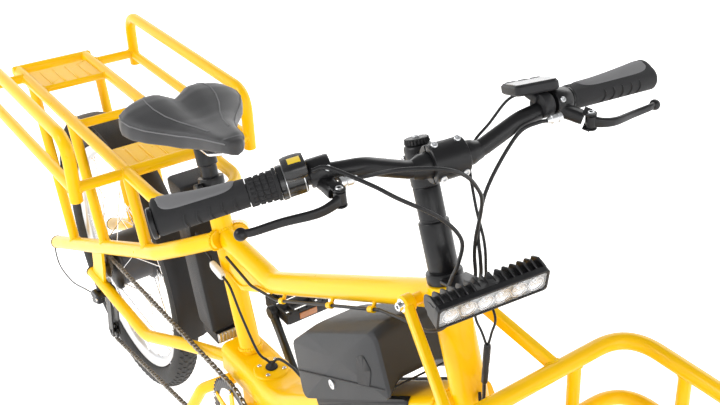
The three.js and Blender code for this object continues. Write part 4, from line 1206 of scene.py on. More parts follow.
def lamp(back, down, y=0.0):
    """A point of the lamp: back from its front edge, down from its top edge, then sideways."""
    return LAMP_TOP + back * LAMP_BACK + down * LAMP_DOWN + np.array([0, y, 0])


def lamp_slab(outline, low, high, edge=0.8):
    """A flat outline of [back, down] made thick from one side of the lamp to the other."""
    return slab([lamp(b, d)[[0, 2]] for b, d in outline], low, high, edge)


rim = []
for inset, back in ((0, 0.6), (0.6, 0), (3, 0), (3.4, 0.6), (3.4, 8), (0, 8)):
    section = rounded(154 - 2 * inset, 36 - 2 * inset, 5, 4)
    rim.append([lamp(back, 18 - v, u) for u, v in section])
rim = np.array(rim)
casting = [
    grid(rim, wrap_rows=True),
    lamp_slab([[7, 1.5], [12, 6], [22, 7], [31, 13], [33, 22], [24, 34.5], [7, 35]], -76.5, 76.5, 2),
]
for number in range(-FINS_A_SIDE, FINS_A_SIDE + 1):
    y = number * FIN_PITCH
    low = 6.5 if abs(number) <= 1 else 0.3
    fin = [[5, 8], [6.5, low + 0.8], [9, low], [24, low], [36, max(low, 9)], [38, 12], [38, 22], [33, 30],
           [26, 30]]
    casting.append(lamp_slab(fin, y - 1.5, y + 1.5, 0.8))
steering("headlight_casting", together(casting), BLACK_METAL, "lamp_housing", "headlight", body="headlight")
liner = lamp_slab([[6.2, 3.6], [7.4, 3.6], [7.4, 32.4], [6.2, 32.4]], -73, 73, 0.3)
steering("headlight_liner", liner, WHITE_PLASTIC, "white_plastic", body="headlight")
cups = []
for number in range(REFLECTORS):
    y = (number - (REFLECTORS - 1) / 2) * REFLECTOR_PITCH
    cups.append(turned(CUP, lamp(6.6, 18, y), -LAMP_BACK, 32, closed=True))
    cups.append(turned(DIODE, lamp(6.4, 18, y), -LAMP_BACK, 16))
steering("headlight_reflectors", together(cups), BRIGHT, "bright_steel", body="headlight")
cover = lamp_slab([[1.2, 3.2], [2.4, 3.2], [2.4, 32.8], [1.2, 32.8]], -73.4, 73.4, 0.3)
steering("headlight_cover", cover, LENS, "lens", body="headlight")
bracket_line = bent([axis_at(190, 27), axis_at(190, 60), [67, 0, 961]], 20, 6)
bracket = carried(rounded(40, 5, 2), bracket_line, up=[0, 1, 0])
steering("headlight_bracket_skin", bracket, BLACK_METAL, "black_metal", "headlight_bracket")
print("headlight", count)

# %% [markdown]
# ## Seat
# The saddle is one closed surface: at each distance from its nose there is a half width, a crown height and a
# skirt. Its rear splits into two lobes with a valley between. Grey piping follows the seam of its cover.

# %% Saddle
SADDLE_X = [128, 124, 112, 95, 60, 20, -15, -45, -75, -100, -125, -140, -149, -152]
SADDLE_HALF = [5, 14, 22, 28, 36, 50, 73, 98, 114, 118, 112, 98, 77, 46]
SADDLE_TOP = [896, 902, 905, 906, 903, 899, 898, 902, 908, 912, 912, 908, 900, 889]
SADDLE_MIDDLE = -735
SKIRT_Z = 853


def saddle_surface(x, angle, lift=0.0):
    """A point at a distance x and an angle round the section, 90 degrees at the top."""
    half = np.interp(-x, -np.array(SADDLE_X), SADDLE_HALF) + lift
    top = np.interp(-x, -np.array(SADDLE_X), SADDLE_TOP) + lift
    wide, high = np.cos(angle), np.sin(angle)
    y = half * np.sign(wide) * np.abs(wide) ** 0.75
    rear = np.clip(-x / 150, 0, 1)
    valley = 20 * (0.25 + 0.75 * rear) ** 1.2 * np.exp(-((y / 20) ** 2)) * (x < 112)
    skirt = SKIRT_Z + 22 * np.clip((x - 10) / 100, 0, 1)
    waist = skirt + 16
    upper = waist + (top - waist - valley) * np.abs(high) ** 0.62
    lower = waist + (skirt - waist) * np.abs(high) ** 0.35
    z = np.where(high >= 0, upper, lower)
    back = 14 * rear**6 * np.exp(-((y / 26) ** 2))
    return np.stack([SADDLE_MIDDLE + x + back, y, z], -1)


x, angle = np.meshgrid(np.interp(np.linspace(0, 1, 60), np.linspace(0, 1, 14), SADDLE_X),
                       np.linspace(0, 2 * math.pi, 72, endpoint=False), indexing="ij")
saddle = make("saddle_cover", grid(saddle_surface(x, angle)), VINYL, "seat", "saddle_cover", ["saddle"],
              flat_above=60)
piping = []
for side in SIDES.values():
    for level, end in ((0.28, -146), (1.12, -146)):
        run = np.linspace(118 if level < 1 else 60, end, 60)
        seam = saddle_surface(run, np.full(60, level if side > 0 else math.pi - level), 0.2)
        piping.append(carried(circle(1.3, 8), seam))
make("saddle_piping", together(piping), GREY_RUBBER, "seat", "grey_rubber")

# %% Seat post, clamp and quick lever
STRETCH = 1 / SEAT_UP[2]
post = [[14, 0], [15.6, 1], [15.6, 211 * STRETCH], [17, 211.4 * STRETCH], [19, 213 * STRETCH],
        [19, 248 * STRETCH], [17, 252 * STRETCH], [10, 253 * STRETCH]]
head = block([-776, -19, 838], [-738, 19, 851], 2, 6)
rails = [pipe([[-640, y * 0.5, 868], [-680, y, 853], [-800, y, 853], [-850, y * 1.3, 868]], 3.5, 30, 12)
         for y in (-22, 22)]
make("seat_post_skin", turned(post, on_seat(590), SEAT_UP, 36) + head, BLACK_METAL, "seat", "black_metal",
     ["seat_post"])
make("saddle_rails", together(rails), BRIGHT, "seat", "bright_steel")
clamp = [[16.4, 0.6], [23, 0.6], [24, 1.6], [24, 15.5], [23, 16.8], [16.4, 17]]
clamp_ears = block([-766, -9, 764], [-752, 9, 780], 1.5, 3)
make("seat_clamp_skin", turned(clamp, on_seat(763), SEAT_UP, 40) + clamp_ears, BLACK_METAL, "frame",
     "black_metal", ["seat_clamp"])
LEVER_PIN = on_seat(771) + [10, 0, 0]
blade = smooth(LEVER_PIN + [[0, -34, 0], [10, -37, 0.5], [26, -40, 1], [42, -39, 0.5], [52, -36, 0]], 6)
lever = carried(rounded(5, 13, 2.2), blade, np.linspace(1.1, 0.8, len(blade)), up=[0, 1, 0])
knob = turned([[5, 24.6], [7, 25.5], [7, 37], [5.5, 38.5], [1, 38.6]], LEVER_PIN, (0, -1, 0), 24)
make("quick_lever_skin", lever + knob, BLACK_METAL, "seat_quick_lever", "black_metal", ["seat_quick_lever"])
print("seat", count)

# %% [markdown]
# ## Batteries
# The front case sits on the beam: a lower shell with a crowned lid, drawn as a stack of rounded outlines from
# one side to the other. The rear case is a tall box behind the seat tube on a finned shoe.

# %% Front battery
CASE_SIDE = np.array([[-325, 557], [-350, 660], [-302, 706], [-114, 815], [-98, 812], [-64, 726]], float)
CASE_CROWN = np.array([[-325, 580], [-346, 668], [-299, 716], [-118, 822], [-100, 817], [-76, 748]], float)


def soft_loop(corners, bend, steps=5):
    """A closed outline with rounded corners."""
    corners = np.asarray(corners, float)
    start = (corners[0] + corners[-1]) / 2
    return bent(np.vstack([start, corners, start]), bend, steps)[:-1]


def stacked(outlines, levels):
    """Outlines of [x, z] set one beside the other at their y."""
    return grid(np.stack([np.insert(shape, 1, level, axis=1) for shape, level in zip(outlines, levels)]))


levels = np.array([-62, -61, -58, -54, -48, -40, -28, 0, 28, 40, 48, 54, 58, 61, 62.0])
outlines = []
for level in levels:
    crown = np.clip((62 - abs(level)) / 26, 0, 1) ** 0.8
    inset = 1 - 0.05 * np.clip((abs(level) - 57) / 5, 0, 1) ** 2
    shape = CASE_SIDE + crown * (CASE_CROWN - CASE_SIDE)
    shape = shape.mean(0) + inset * (shape - shape.mean(0))
    outlines.append(soft_loop(shape, 14))
make("front_battery_case", stacked(outlines, levels), GREY_PLASTIC, "frame", "grey_plastic",
     ["front_battery"])
seam_loop = soft_loop([[-337, 62.4, 612], [-73, 62.4, 742], [-73, -62.4, 742], [-337, -62.4, 612]], 14, 6)
seams = [carried(circle(1.6, 8), seam_loop, closed=True)]
# Each side gets a thin black plate over its recess: painted shade standing in for the hollow's shadow. The
# loop of tube round the case is its seam.
for y in (-62.2, 62.2):
    recess_shade_outline = np.array([[-150, 700], [-118, 716], [-112, 752], [-132, 768], [-152, 752]], float)
    seams.append(slab(soft_loop(recess_shade_outline, 10), y - 1.2, y + 1.2, 0.8))
make("front_battery_seam_and_recess_shade", together(seams), BLACK_PLASTIC, "frame", "black_plastic")
lock = turned([[8, 0], [8, 2.5], [6, 3.4], [3, 3.4], [2.6, 1.8], [0.4, 1.8]], [-225, -61.5, 655],
              (0, -1, 0), 28)
rail = slab(soft_loop([[-322, 553], [-62, 722], [-56, 712], [-316, 540]], 6), -40, 40, 2)
make("front_battery_lock", lock, ALLOY, "frame", "bright_steel")
make("front_battery_rail", rail, BLACK_PLASTIC, "frame", "black_plastic")


# %% Rear battery
def box_x(z):
    """The box's rear edge, parallel to the seat tube."""
    return -781 - 0.245 * (z - 412)


def box_outline(low, high, back, front):
    return [[box_x(low) + back, low], [box_x(low) + front, low], [box_x(high) + front, high],
            [box_x(high) + back, high]]


box_levels = [-38, -37, -33, -26, 26, 33, 37, 38]
box_inset = [5, 2, 0.5, 0, 0, 0.5, 2, 5]
body = stacked([soft_loop(box_outline(441 + n, 706, n, 66 - n), 9) for n in box_inset], box_levels)
lid = stacked([soft_loop(box_outline(707.5, 740 - n, n, 66 - n), 9) for n in box_inset], box_levels)
seal = stacked([soft_loop(box_outline(700, 712, 3, 63), 4)] * 2, [-35, 35])
shoe = stacked([soft_loop(box_outline(418.5, 440.5, 2, 64), 3)] * 2, [-32, 32])
make("rear_battery_case", together([body, lid, seal, shoe]), BLACK_PLASTIC, "frame", "black_plastic",
     ["rear_battery"])
cooling = [block([box_x(430) + 65, y - 1.3, 420], [box_x(430) + 70, y + 1.3, 440], 0.5, 1)
           for y in range(-28, 29, 7)]
cooling.append(block([box_x(430) + 63.5, -31, 419], [box_x(430) + 66, 31, 441], 0.6, 1))
make("rear_battery_fins", together(cooling), ALLOY, "frame", "bright_steel")
print("batteries", count)

# %% [markdown]
# ## Wheels
# A tyre is a turned section with rows of blocks on it, a rim is a hollow silver hoop, and thirty-six thin
# spokes leave the hub's flanges at a slant, so that the pull of a turning hub reaches the rim.

# %% Tyres
TYRE_CENTRE = 306.0
TYRE_SECTION = 26.2
BLOCKS_ROUND = 84
TREAD_ROWS = [(0, 15, 9, 0), (24, 13, 8, 0.5), (-24, 13, 8, 0.5), (47, 12, 8, 0.1), (-47, 12, 8, 0.1)]


def tyre_shell(hub):
    """A carcass that is nearly round in section, with staggered tread blocks."""
    angle = np.radians(np.linspace(-62, 242, 40))
    profile = np.stack([TYRE_CENTRE + TYRE_SECTION * np.sin(angle), TYRE_SECTION * np.cos(angle)], -1)
    profile = np.vstack([profile, [[281.5, -9], [281.5, 9]]])
    shells = [turned(profile, hub, (0, 1, 0), 120, closed=True)]
    return together(shells + [tread_row(hub, *row) for row in TREAD_ROWS])


def tread_row(hub, lean, length, width, shift):
    """A row of blocks: each has a foot on the carcass and a smaller face a little above it."""
    turn_at = (np.arange(BLOCKS_ROUND) + shift) * 2 * math.pi / BLOCKS_ROUND
    corners = np.array([[-1, -1], [1, -1], [1, 1], [-1, 1]])
    layers = []
    for height, shrink in ((-0.6, 1.0), (1.1, 0.94), (1.6, 0.84)):
        radius = TYRE_SECTION + height
        tilt = math.radians(lean) + corners[:, 1] * width / 2 * shrink / radius
        out = TYRE_CENTRE + radius * np.cos(tilt)
        round_to = turn_at[:, None] + corners[:, 0] * length / 2 * shrink / out
        layers.append(np.stack(np.broadcast_arrays(
            out * np.cos(round_to), radius * np.sin(tilt), out * np.sin(round_to)
        ), -1))
    blocks = np.stack(layers, 1) + hub
    return together([grid(one) for one in blocks])


# %% Rims and spokes
SPOKES = 36


def both_sides(profile):
    """A profile of [radius, distance along the axis], followed by its mirror image."""
    return profile + [[radius, -place] for radius, place in profile[::-1]]


def around(centre, radius, angle, y=0.0):
    """A point at an angle round a hub, and a distance to its side."""
    return centre + [radius * math.cos(angle), y, radius * math.sin(angle)]


def rim_shell(hub):
    """A rim with a deep middle, brake-smooth sides and a bead hook."""
    near = [[258.5, -5], [262, -9.5], [270, -12.6], [279.6, -13], [279.6, -11.4], [275, -10.4], [271, -4]]
    return turned(both_sides(near), hub, (0, 1, 0), 96, closed=True)


def spokes_shell(hub, flange, half):
    """Each spoke leaves its flange a sixth of a turn from where it meets the rim."""
    shells = []
    for number in range(SPOKES):
        side = 1 if number % 2 else -1
        lead = 1 if (number // 2) % 2 else -1
        at_rim = number * 2 * math.pi / SPOKES
        at_hub = at_rim + lead * (0.62 if flange < 50 else 0.5)
        inner = around(hub, flange, at_hub, side * half)
        outer = around(hub, 259.5, at_rim, side * 2.5)
        shells.append(rod(inner, outer, 1.15, 8, 0.3))
        shells.append(rod(outer - unit(outer - inner) * 13, outer, 2.0, 8, 0.5))
        shells.append(rod(inner - [0, side * 1.5, 0], inner + [0, side * 1.8, 0], 2.4, 10, 0.6))
    return together(shells)


# %% Discs and hubs
DISC_BRIDGES = 36
DISC_ARMS = 6


def disc_shell(hub, at):
    """A brake disc: a ring with slots shown as two rings and slanted bridges, on a six-armed carrier."""
    shells = []
    for inner, outer in ((62, 68), (71, 80)):
        shells.append(turned([[inner, -0.9], [inner, 0.9], [outer, 0.9], [outer, -0.9]], hub + [0, at, 0],
                             (0, 1, 0), 72, closed=True))
    for number in range(DISC_BRIDGES):
        angle = number * 2 * math.pi / DISC_BRIDGES
        start, end = around(hub, 66, angle, at), around(hub, 73, angle + 0.05, at)
        shells.append(carried(rounded(1.6, 3, 0.6, 2), np.linspace(start, end, 2), up=[0, 1, 0]))
    for number in range(DISC_ARMS):
        angle = number * 2 * math.pi / DISC_ARMS
        start, end = around(hub, 20, angle, at), around(hub, 64, angle + 0.35, at)
        shells.append(carried(rounded(1.8, 8, 0.7, 2), np.linspace(start, end, 4), [1.3, 1, 0.9, 1.1],
                              up=[0, 1, 0]))
    shells.append(turned([[8, -1.2], [8, 1.6], [24, 1.6], [24, -1.2]], hub + [0, at, 0], (0, 1, 0), 36,
                         closed=True))
    return together(shells)


def hub_shell(hub, flange, half, axle):
    """A hub with two flanges, a waist and a hollow axle end on each side."""
    waist = flange * 0.92 if flange > 50 else flange * 0.62
    near = [[3, -axle], [6, -axle + 0.6], [6, -half], [flange * 0.55, -half + 0.5], [flange + 2, -half + 4],
            [flange + 2, -half + 8], [waist, -half + 12]]
    return turned(both_sides(near), hub, (0, 1, 0), 64)


# %% Both wheels
REAR_HUB = np.array([-1276.0, 0.0, HUB_Z])
WHEELS = {"front": (FRONT_HUB, 26, 40, 53, True), "rear": (REAR_HUB, 68, 46, 70.5, False)}
for word, (hub, flange, half, axle, turned_bars) in WHEELS.items():
    for part, shell, finish, slot, nodes in (
        ("tyre_tread", tyre_shell(hub), TYRE, "tyre", [word + "_tyre"]),
        ("rim", rim_shell(hub), ALLOY, "rim_alloy", [word + "_wheel"]),
        ("spokes", spokes_shell(hub, flange, half - 6), BRIGHT, "bright_steel", []),
        ("hub", hub_shell(hub, flange, half, axle), DARK_METAL, "black_metal", []),
        ("disc", disc_shell(hub, half + 2.2), BRIGHT, "bright_steel", []),
    ):
        make(f"{word}_{part}", shell, finish, word + "_wheel", slot, nodes, turned_bars)
rear_caliper = together([
    block([-1217, 50.3, HUB_Z - 30], [-1182, 60.4, HUB_Z + 6], 1.5, 4),
    block([-1217, 42, HUB_Z - 30], [-1182, 45.7, HUB_Z + 6], 0.8, 3),
    block([-1192.4, 43, HUB_Z - 28], [-1182.2, 59, HUB_Z + 4], 1, 3),
])
make("rear_caliper_body", rear_caliper, BLACK_METAL, "frame", "black_metal", ["rear_brake_caliper"])
print("wheels", count)

# %% [markdown]
# ## Drive
# The chain is laid link by link round three arcs: the chainring, the sprocket and the lower pulley. Teeth are
# a wave on each ring's edge, and the five-armed spider that carries the chainring is painted like the frame.

# %% Toothed rings
CHAIN_Y = -57.0
CHAIN_PITCH = 12.7
CHAINRING_TEETH = 44
SPROCKET_TEETH = 16
PULLEY_TEETH = 11
SPIDER_ARMS = 5
CRANK_LENGTH = 170


def toothed(centre, teeth, root, tip, bore, low, high):
    """A ring whose outer edge rises and falls once a tooth, with narrow tips."""
    angle = np.arange(teeth * 8) * 2 * math.pi / (teeth * 8)
    wave = (0.5 + 0.5 * np.cos(angle * teeth)) ** 1.5
    edge = root + (tip - root) * wave
    out = np.stack([np.cos(angle), 0 * angle, np.sin(angle)], -1)
    side = np.array([0, 1, 0])
    loops = [bore + 0 * edge, edge - 1.5, edge, edge, edge - 1.5, bore + 0 * edge]
    levels = [low, low, low + 0.8, high - 0.8, high, high]
    points = np.stack([centre + r[:, None] * out + y * side for r, y in zip(loops, levels)])
    return grid(points, wrap_rows=True)


def crank_end(side):
    """The pedal's axle on one side: the left crank rests at 125 degrees and the right one opposite."""
    angle = math.radians(125 if side > 0 else 305)
    return around(BRACKET, CRANK_LENGTH, angle)


ring = toothed(BRACKET, CHAINRING_TEETH, 86, 92.5, 70, CHAIN_Y - 1.5, CHAIN_Y + 1.5)
make("chainring", ring, DARK_METAL, "crankset", "drive_steel")
spider = [turned([[8, -62], [26, -62], [28, -60], [28, -56], [8, -54]], BRACKET, (0, 1, 0), 40)]
ring_screws = []
for number in range(SPIDER_ARMS):
    angle = number * 2 * math.pi / SPIDER_ARMS + 0.3
    out = np.array([math.cos(angle), 0, math.sin(angle)])
    line = np.linspace(BRACKET + out * 20, BRACKET + out * 76, 5) + [0, CHAIN_Y - 2.6, 0]
    spider.append(carried(rounded(4, 20, 1.4), line, [1.3, 1, 0.85, 0.8, 0.7], up=[0, 1, 0]))
    ring_screws.append(screw(BRACKET + out * 74 + [0, CHAIN_Y - 4, 0], (0, -1, 0), 4.2, 2.4))
make("chainring_spider", together(spider), YELLOW, "crankset", "frame_paint")
make("chainring_screws", together(ring_screws), BRIGHT, "crankset", "bright_steel")

# %% Cranks and pedals
arms = [turned([[8, -88], [10, -88], [10, 88], [8, 88]], BRACKET, (0, 1, 0), 32)]
for word, side in SIDES.items():
    end = crank_end(side)
    offset = np.array([0, side * 91.0, 0])
    line = np.linspace(BRACKET + offset, end + offset, 9)
    width = [1.1, 1.0, 0.94, 0.9, 0.88, 0.86, 0.86, 0.9, 0.94]
    arms.append(carried(rounded(14, 27, 5), line, width, up=[0, 1, 0]))
    for place, radius in ((BRACKET, 18), (end, 14)):
        arms.append(turned([[2, 83], [radius - 2, 83], [radius, 85], [radius, 97], [radius - 2, 98.2],
                            [7, 98.2], [6.5, 96], [1, 96]],
                           place, (0, side, 0), 36))
make("crank_arms", together(arms), BLACK_METAL, "crankset", "crank_alloy", ["crankset"])
for word, side in SIDES.items():
    end = crank_end(side)

    def at(x, y, z):
        """A point from the pedal's middle, with y counted outwards from the bicycle."""
        return end + [x, side * y, z]

    def box(low, high, edge=1.2, corner=2.0):
        """A rounded box between two such points."""
        a, b = at(*low), at(*high)
        return block(np.minimum(a, b), np.maximum(a, b), edge, corner)

    cage = [box((-46, 99.4, -11), (46, 104, 11)), box((-46, 192, -11), (46, 197, 11))]
    cage += [box((s - 5, 102, -11.5), (s + 5, 194, 11.5)) for s in (-41, 41)]
    cage += [box((-40, y - 2, -8), (40, y + 2, 8)) for y in (124, 172)]
    cage.append(turned([[8, 99], [11.5, 101], [11.5, 186], [9, 190], [2, 191]], end, (0, side, 0), 28))
    studs = [rod(at(s, y, -14), at(s, y, 14), 1.8, 8, 0.5)
             for s in (-41, 41) for y in (110, 129, 148, 167, 186)]
    make("pedal_cage_" + word, together(cage + studs), BLACK_PLASTIC, "pedal_" + word, "black_plastic",
         ["pedal_" + word])
    lights = [box((s - 1.8, 128, -7), (s + 1.8, 168, 7), 0.6, 1.2) for s in (-46.4, 46.4)]
    make("pedal_reflectors_" + word, together(lights), AMBER, "pedal_" + word, "reflector_amber")


# %% Chain
def arc(centre, radius, start, stop, steps):
    """Points [x, z] on an arc between two angles in degrees."""
    angle = np.radians(np.linspace(start, stop, steps))
    return np.asarray(centre) + radius * np.stack([np.cos(angle), np.sin(angle)], -1)


LOWER_PULLEY, UPPER_PULLEY = np.array([-1296.0, 128.0]), np.array([-1268.0, 262.0])
route = np.vstack([arc(BRACKET[[0, 2]], 92.0, -80, 92, 40), arc(REAR_HUB[[0, 2]], 37.2, 92, 175, 16),
                   arc(LOWER_PULLEY, 26.0, 180, 280, 16)])
route = np.vstack([route, route[:1]])
place = np.concatenate([[0], np.cumsum(np.linalg.norm(np.diff(route, axis=0), axis=1))])
links = 2 * round(place[-1] / (2 * CHAIN_PITCH))
pins_at = np.linspace(0, place[-1], links, endpoint=False)
pins_at = np.stack([np.interp(pins_at, place, route[:, i]) for i in (0, 1)], -1)
half_turn = np.linspace(-1, 1, 5) * math.pi / 2
chain = []
for number, (a, b) in enumerate(zip(pins_at, np.roll(pins_at, -1, 0))):
    along = unit(b - a)
    normal = np.array([-along[1], along[0]])
    nose = 4.0 * (np.cos(half_turn)[:, None] * along + np.sin(half_turn)[:, None] * normal)
    middle = (a + b) / 2
    outline = np.vstack([b + nose, [middle + 2.8 * normal], a - nose, [middle - 2.8 * normal]])
    offset = 3.0 if number % 2 else 1.9
    for side in SIDES.values():
        near, far = sorted((CHAIN_Y + side * offset, CHAIN_Y + side * (offset + 0.9)))
        chain.append(grid(np.stack([np.insert(outline, 1, level, axis=1) for level in (near, far)])))
    pin = np.insert(a, 1, CHAIN_Y)
    chain.append(turned([[2.6, -4.1], [2.6, 4.1]], pin, (0, 1, 0), 8))
make("chain_links", together(chain), CHAIN_STEEL, "frame", "drive_steel", ["chain"])
print("chain links", links, count)

# %% Sprocket and derailleur
sprocket = toothed(REAR_HUB, SPROCKET_TEETH, 30.5, 36, 8, CHAIN_Y - 1.5, CHAIN_Y + 1.5)
steps = turned([[7, 1.6], [28, 1.6], [28, 4], [22, 5], [22, 8.6], [7, 8.8]], REAR_HUB + [0, CHAIN_Y, 0],
               (0, 1, 0), 40, closed=True)
make("sprocket_teeth", sprocket + steps, CHAIN_STEEL, "rear_sprocket", "drive_steel", ["rear_sprocket"])
derailleur = []
for pulley in (LOWER_PULLEY, UPPER_PULLEY):
    centre = np.insert(pulley, 1, 0.0)
    derailleur.append(toothed(centre, PULLEY_TEETH, 17, 21, 4, -60, -54))
    derailleur.append(rod(centre + [0, -70, 0], centre + [0, -51, 0], 5.5, 20))
for y in (-67, -51):
    plate = soft_loop([[-1255, 256], [-1259, 270], [-1275, 272], [-1311, 128], [-1302, 114], [-1284, 116]],
                      8)
    derailleur.append(slab(plate, y - 1.5, y + 1.5, 0.5))
knuckle = soft_loop([[-1262, 238], [-1304, 221], [-1313, 248], [-1297, 263], [-1262, 263]], 9)
derailleur.append(slab(knuckle, -96, -79, 3))
derailleur.append(rod([-1268, -92, 254], [-1268, -62, 262], 7, 20))
derailleur.append(rod([-1286, -80, 262], [-1290, -74, 282], 8, 20))
make("derailleur_body", together(derailleur), BLACK_METAL, "frame", "black_metal", ["rear_derailleur"])
make("derailleur_screws", together([screw([-1268, -95, 250], (0, -1, 0), 4, 3),
                                    screw([-1298, -95, 244], (0, -1, 0), 4, 3)]),
     BRIGHT, "frame", "bright_steel")

# %% Mudguard
turn_at = np.radians(np.linspace(-6, 165, 72))
outside = [[350, -32], [350.5, -30.5], [351.5, -29], [355.5, -19], [356.5, -8]]
inside = [[348.4, 32], [348.6, 30], [349.8, 28], [353.6, 18], [354.4, 8]]
section = np.array(both_sides(outside) + both_sides(inside))
points = np.stack([
    REAR_HUB[0] + section[:, 0] * np.cos(turn_at)[:, None],
    np.broadcast_to(section[:, 1], (len(turn_at), len(section))),
    REAR_HUB[2] + section[:, 0] * np.sin(turn_at)[:, None],
], -1)
make("mudguard_skin", grid(points), BLACK_PLASTIC, "frame", "black_plastic", ["rear_mudguard"])

# %% [markdown]
# ## Stand, cover plate and fittings
# The stand is one bent tube with two splayed legs. A round plate on the beam covers the cable's way in.

# %% Stand
LEG = [[-722, 0, 322], [-734, 26, 314], [-776, 56, 282], [-812, 65, 222], [-850, 96, 120], [-864, 150, 14]]
legs = [pipe(mirrored(LEG, side), 12, 50, 24, 10) for side in SIDES.values()]
sleeve = turned([[9, -20], [12.6, -20], [13, -19], [13, 19], [12.6, 20], [9, 20]], [-722, 0, 322],
                (0, 1, 0), 32)
make("stand_legs", together(legs + [sleeve]), YELLOW, "centre_stand", "frame_paint", ["centre_stand"])
feet = [block([-883, side * 152 - 21, 0.3], [-845, side * 152 + 21, 13], 3, 10) for side in SIDES.values()]
make("stand_feet", together(feet), BLACK_PLASTIC, "centre_stand", "black_plastic")

# %% Cover plate
COVER = np.array([-558.0, 0.0, 438.0])
plate = turned([[33, 0.5], [34, 2], [34, 6.4], [32.6, 8], [30, 8.8], [12, 9.4], [11, 8.6], [0.4, 8.6]],
               COVER, (0, 0, 1), 48)
make("cover_plate_skin", plate, YELLOW, "frame", "frame_paint", ["cable_cover_plate"])
cover_screws = [screw(COVER + [24 * math.cos(a), 24 * math.sin(a), 8.4], (0, 0, 1), 4, 3)
                for a in np.radians([45, 135, 225, 315])]
make("cover_plate_screws", together(cover_screws), BRIGHT, "frame", "bright_steel")
grommet = turned([[3, 8], [10, 8.2], [11.5, 10], [11, 12.5], [6, 15], [4, 19], [3.4, 22]], COVER,
                 (0, 0, 1), 28)
make("cover_plate_grommet", grommet, RUBBER, "frame", "cable_rubber")
print("fittings", count)

# %% [markdown]
# ## Cables
# Each cable is a smooth curve through a few points. Those that leave the bars cross the headset: they are
# drawn with their upper ends turned with the bars at rest and their lower ends where they meet the frame.

# %% Cables from the bars
def crossing(name, shell, finish, slot, start, end):
    """A piece drawn with the bars turned to rest, riding on no body; start and end are not used."""
    piece = make(name, shell, finish, None, slot, turned_bars=True)
    tuple((steer(np.array(start, float)) + ORIGIN) / 1000)
    tuple((np.array(end, float) + ORIGIN) / 1000)
    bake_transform(piece)
    return piece


def housing(corners, radius=2.5, steps=10):
    """A round jacket along a smooth curve."""
    return carried(circle(radius, 12), smooth(corners, steps))


def unsteer(point):
    """A point fixed to the frame, as drawn for a piece that will be turned with the bars."""
    return turn(np.asarray(point, float), STEER_POINT, STEER_UP, -STEER_REST)


def frame_end(down, y):
    """A place on the front of the head tube."""
    return unsteer(axis_at(down, 27.5, y))


right_barrel = on_bar(143, -1, -9, 24) + [0, 20, 0]
left_barrel = on_bar(157, 1, -9, 24) - [0, 20, 0]
right_brake = [right_barrel, right_barrel + [8, 12, 3], [46, -92, 1152], [60, -68, 1154], [73, -36, 1149],
               [64, -6, 1126], [54, 14, 1096], [46, 22, 1076], [34, 26, 1049], [16, 28, 1005], [8, 29, 972],
               [10, 28, 940], frame_end(236, 12)]
left_brake = [left_barrel, left_barrel - [2, 12, 0], [13, 100, 1134], [4, 84, 1108], [1, 60, 1069],
              [2, 46, 1038], [11, 34, 1004], [18, 32, 970], [18, 30, 940], frame_end(240, 6)]
display_wire = [MIDDLE - 9 * LIFT - 14 * ALONG, [-66, 128, 1136], [-72, 102, 1106], [-66, 76, 1090],
                [-34, 50, 1082], [0, 38, 1040], [22, 36, 1000], [26, 35, 965], [24, 32, 938],
                frame_end(244, 0)]
blend_top, blend_low = [20, 0, 985], axis_at(236, 27)
for name, corners, radius in (("right_brake_cable", right_brake, 2.5),
                              ("left_brake_cable", left_brake, 2.5),
                              ("display_wire", display_wire, 2.0)):
    crossing(name, housing(corners, radius), CABLE, "cable_rubber", blend_top, blend_low)
shift_start = on_bar(172, -1, 16, 22)
shift_cable = [shift_start, shift_start + [6, 18, 1], [52, -120, 1146], [70, -98, 1131], [77, -50, 1092],
               [80, -26, 1056], [70, -26, 1018], [54, -29, 985], [44, -31, 955], unsteer([26, -33, 900]),
               unsteer([-14, -35, 866]), unsteer([-80, -30, 845]), unsteer([-149, -20, 816.5])]
crossing("shift_cable_front", housing(shift_cable), CABLE, "cable_rubber", [50, 0, 985], [10, 0, 885])
lamp_wires = [
    [lamp(30, 34, 6), [104, 2, 948], [108, -6, 930], [107, -11, 912]],
    [lamp(26, 34, -14), [92, -18, 946], [100, -15, 930], [105, -12, 912]],
    [[106, -11.5, 900], [98, -12, 866], [96, -12, 850], [88, -10, 812], [72, -6, 786], frame_end(352, -2)],
]
lamp_lead = together([housing(run, 1.6 if n < 2 else 2.4) for n, run in enumerate(lamp_wires)])
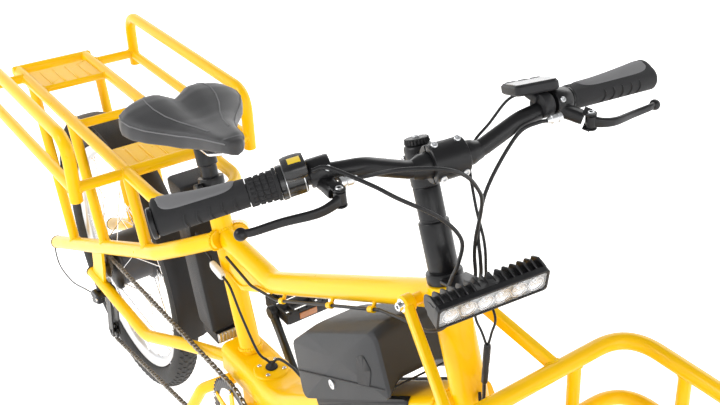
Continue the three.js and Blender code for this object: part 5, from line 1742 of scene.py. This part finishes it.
sleeve = turned([[2.5, 0], [4.2, 2], [4.6, 6], [4.6, 30], [4.0, 40], [4.4, 46], [4.2, 66], [2.4, 70]],
                [107, -11.5, 915], unit([-10, -1, -66]), 20)
crossing("lamp_wires", lamp_lead + sleeve, CABLE, "cable_rubber", [104, 0, 948], axis_at(350, 27))

# %% Cable along the upper tube, its guides, and the wires at the seat tube
RUN = [[-150, -20, 816], [-300, -20, 741], [-470, -21, 656], [-560, -24, 640], [-655, -22.5, 652]]
make("shift_cable_skin", pipe(RUN, 2.6, 60, 12, 8), CABLE, "frame", "cable_rubber",
     ["shift_cable_top_tube"])
guides = []
for x, z in ((-170, 806), (-290, 746), (-450, 666)):
    along = unit([-150, 0, -75])
    centre = np.array([x, -20.2, z])
    guides.append(turned([[3.1, -7], [5.2, -6.4], [5.2, 6.4], [3.1, 7]], centre, along, 20, closed=True))
    guides.append(rod(centre + [0, 3, 2], centre + [-3, 9, 12], 3.2, 12))
make("cable_guides", together(guides), YELLOW, "frame", "frame_paint")
JUNCTION = on_seat(612) + [6, -31, 0]
case = carried(rounded(17, 12, 4), np.linspace(JUNCTION - [22, 0, -3], JUNCTION + [22, 0, -3], 6),
               [0.8, 1, 1, 1, 1, 0.8], up=[0, 0, 1])
make("junction_connector", case, PALE_PLASTIC, "frame", "white_plastic")
junction_wires = together([
    housing([JUNCTION + [20, 0, -3], JUNCTION + [44, 2, -16], JUNCTION + [66, 8, -70], [-578, -16, 480],
             [-562, -6, 464], COVER + [0, 0, 18]], 2.4),
    housing([JUNCTION - [20, 0, -3], JUNCTION + [-40, 6, 6], [-742, -34, 640], [-764, -30, 655]], 2.4),
    housing([COVER + [0, 0, 16], COVER + [16, 8, 34], [-500, 12, 478], [-440, 10, 486], [-380, 6, 560],
             [-342, 4, 600]], 2.6),
])
make("junction_wires", junction_wires, CABLE, "frame", "cable_rubber")
wire = housing([[-1602, -75, 243], [-1618, -80, 228], [-1560, -92, 200], [-1450, -97, 208],
                [-1360, -94, 232], [-1304, -90, 246]], 1.6)
make("derailleur_wire", wire, CABLE, "frame", "cable_rubber")
print("cables", count)
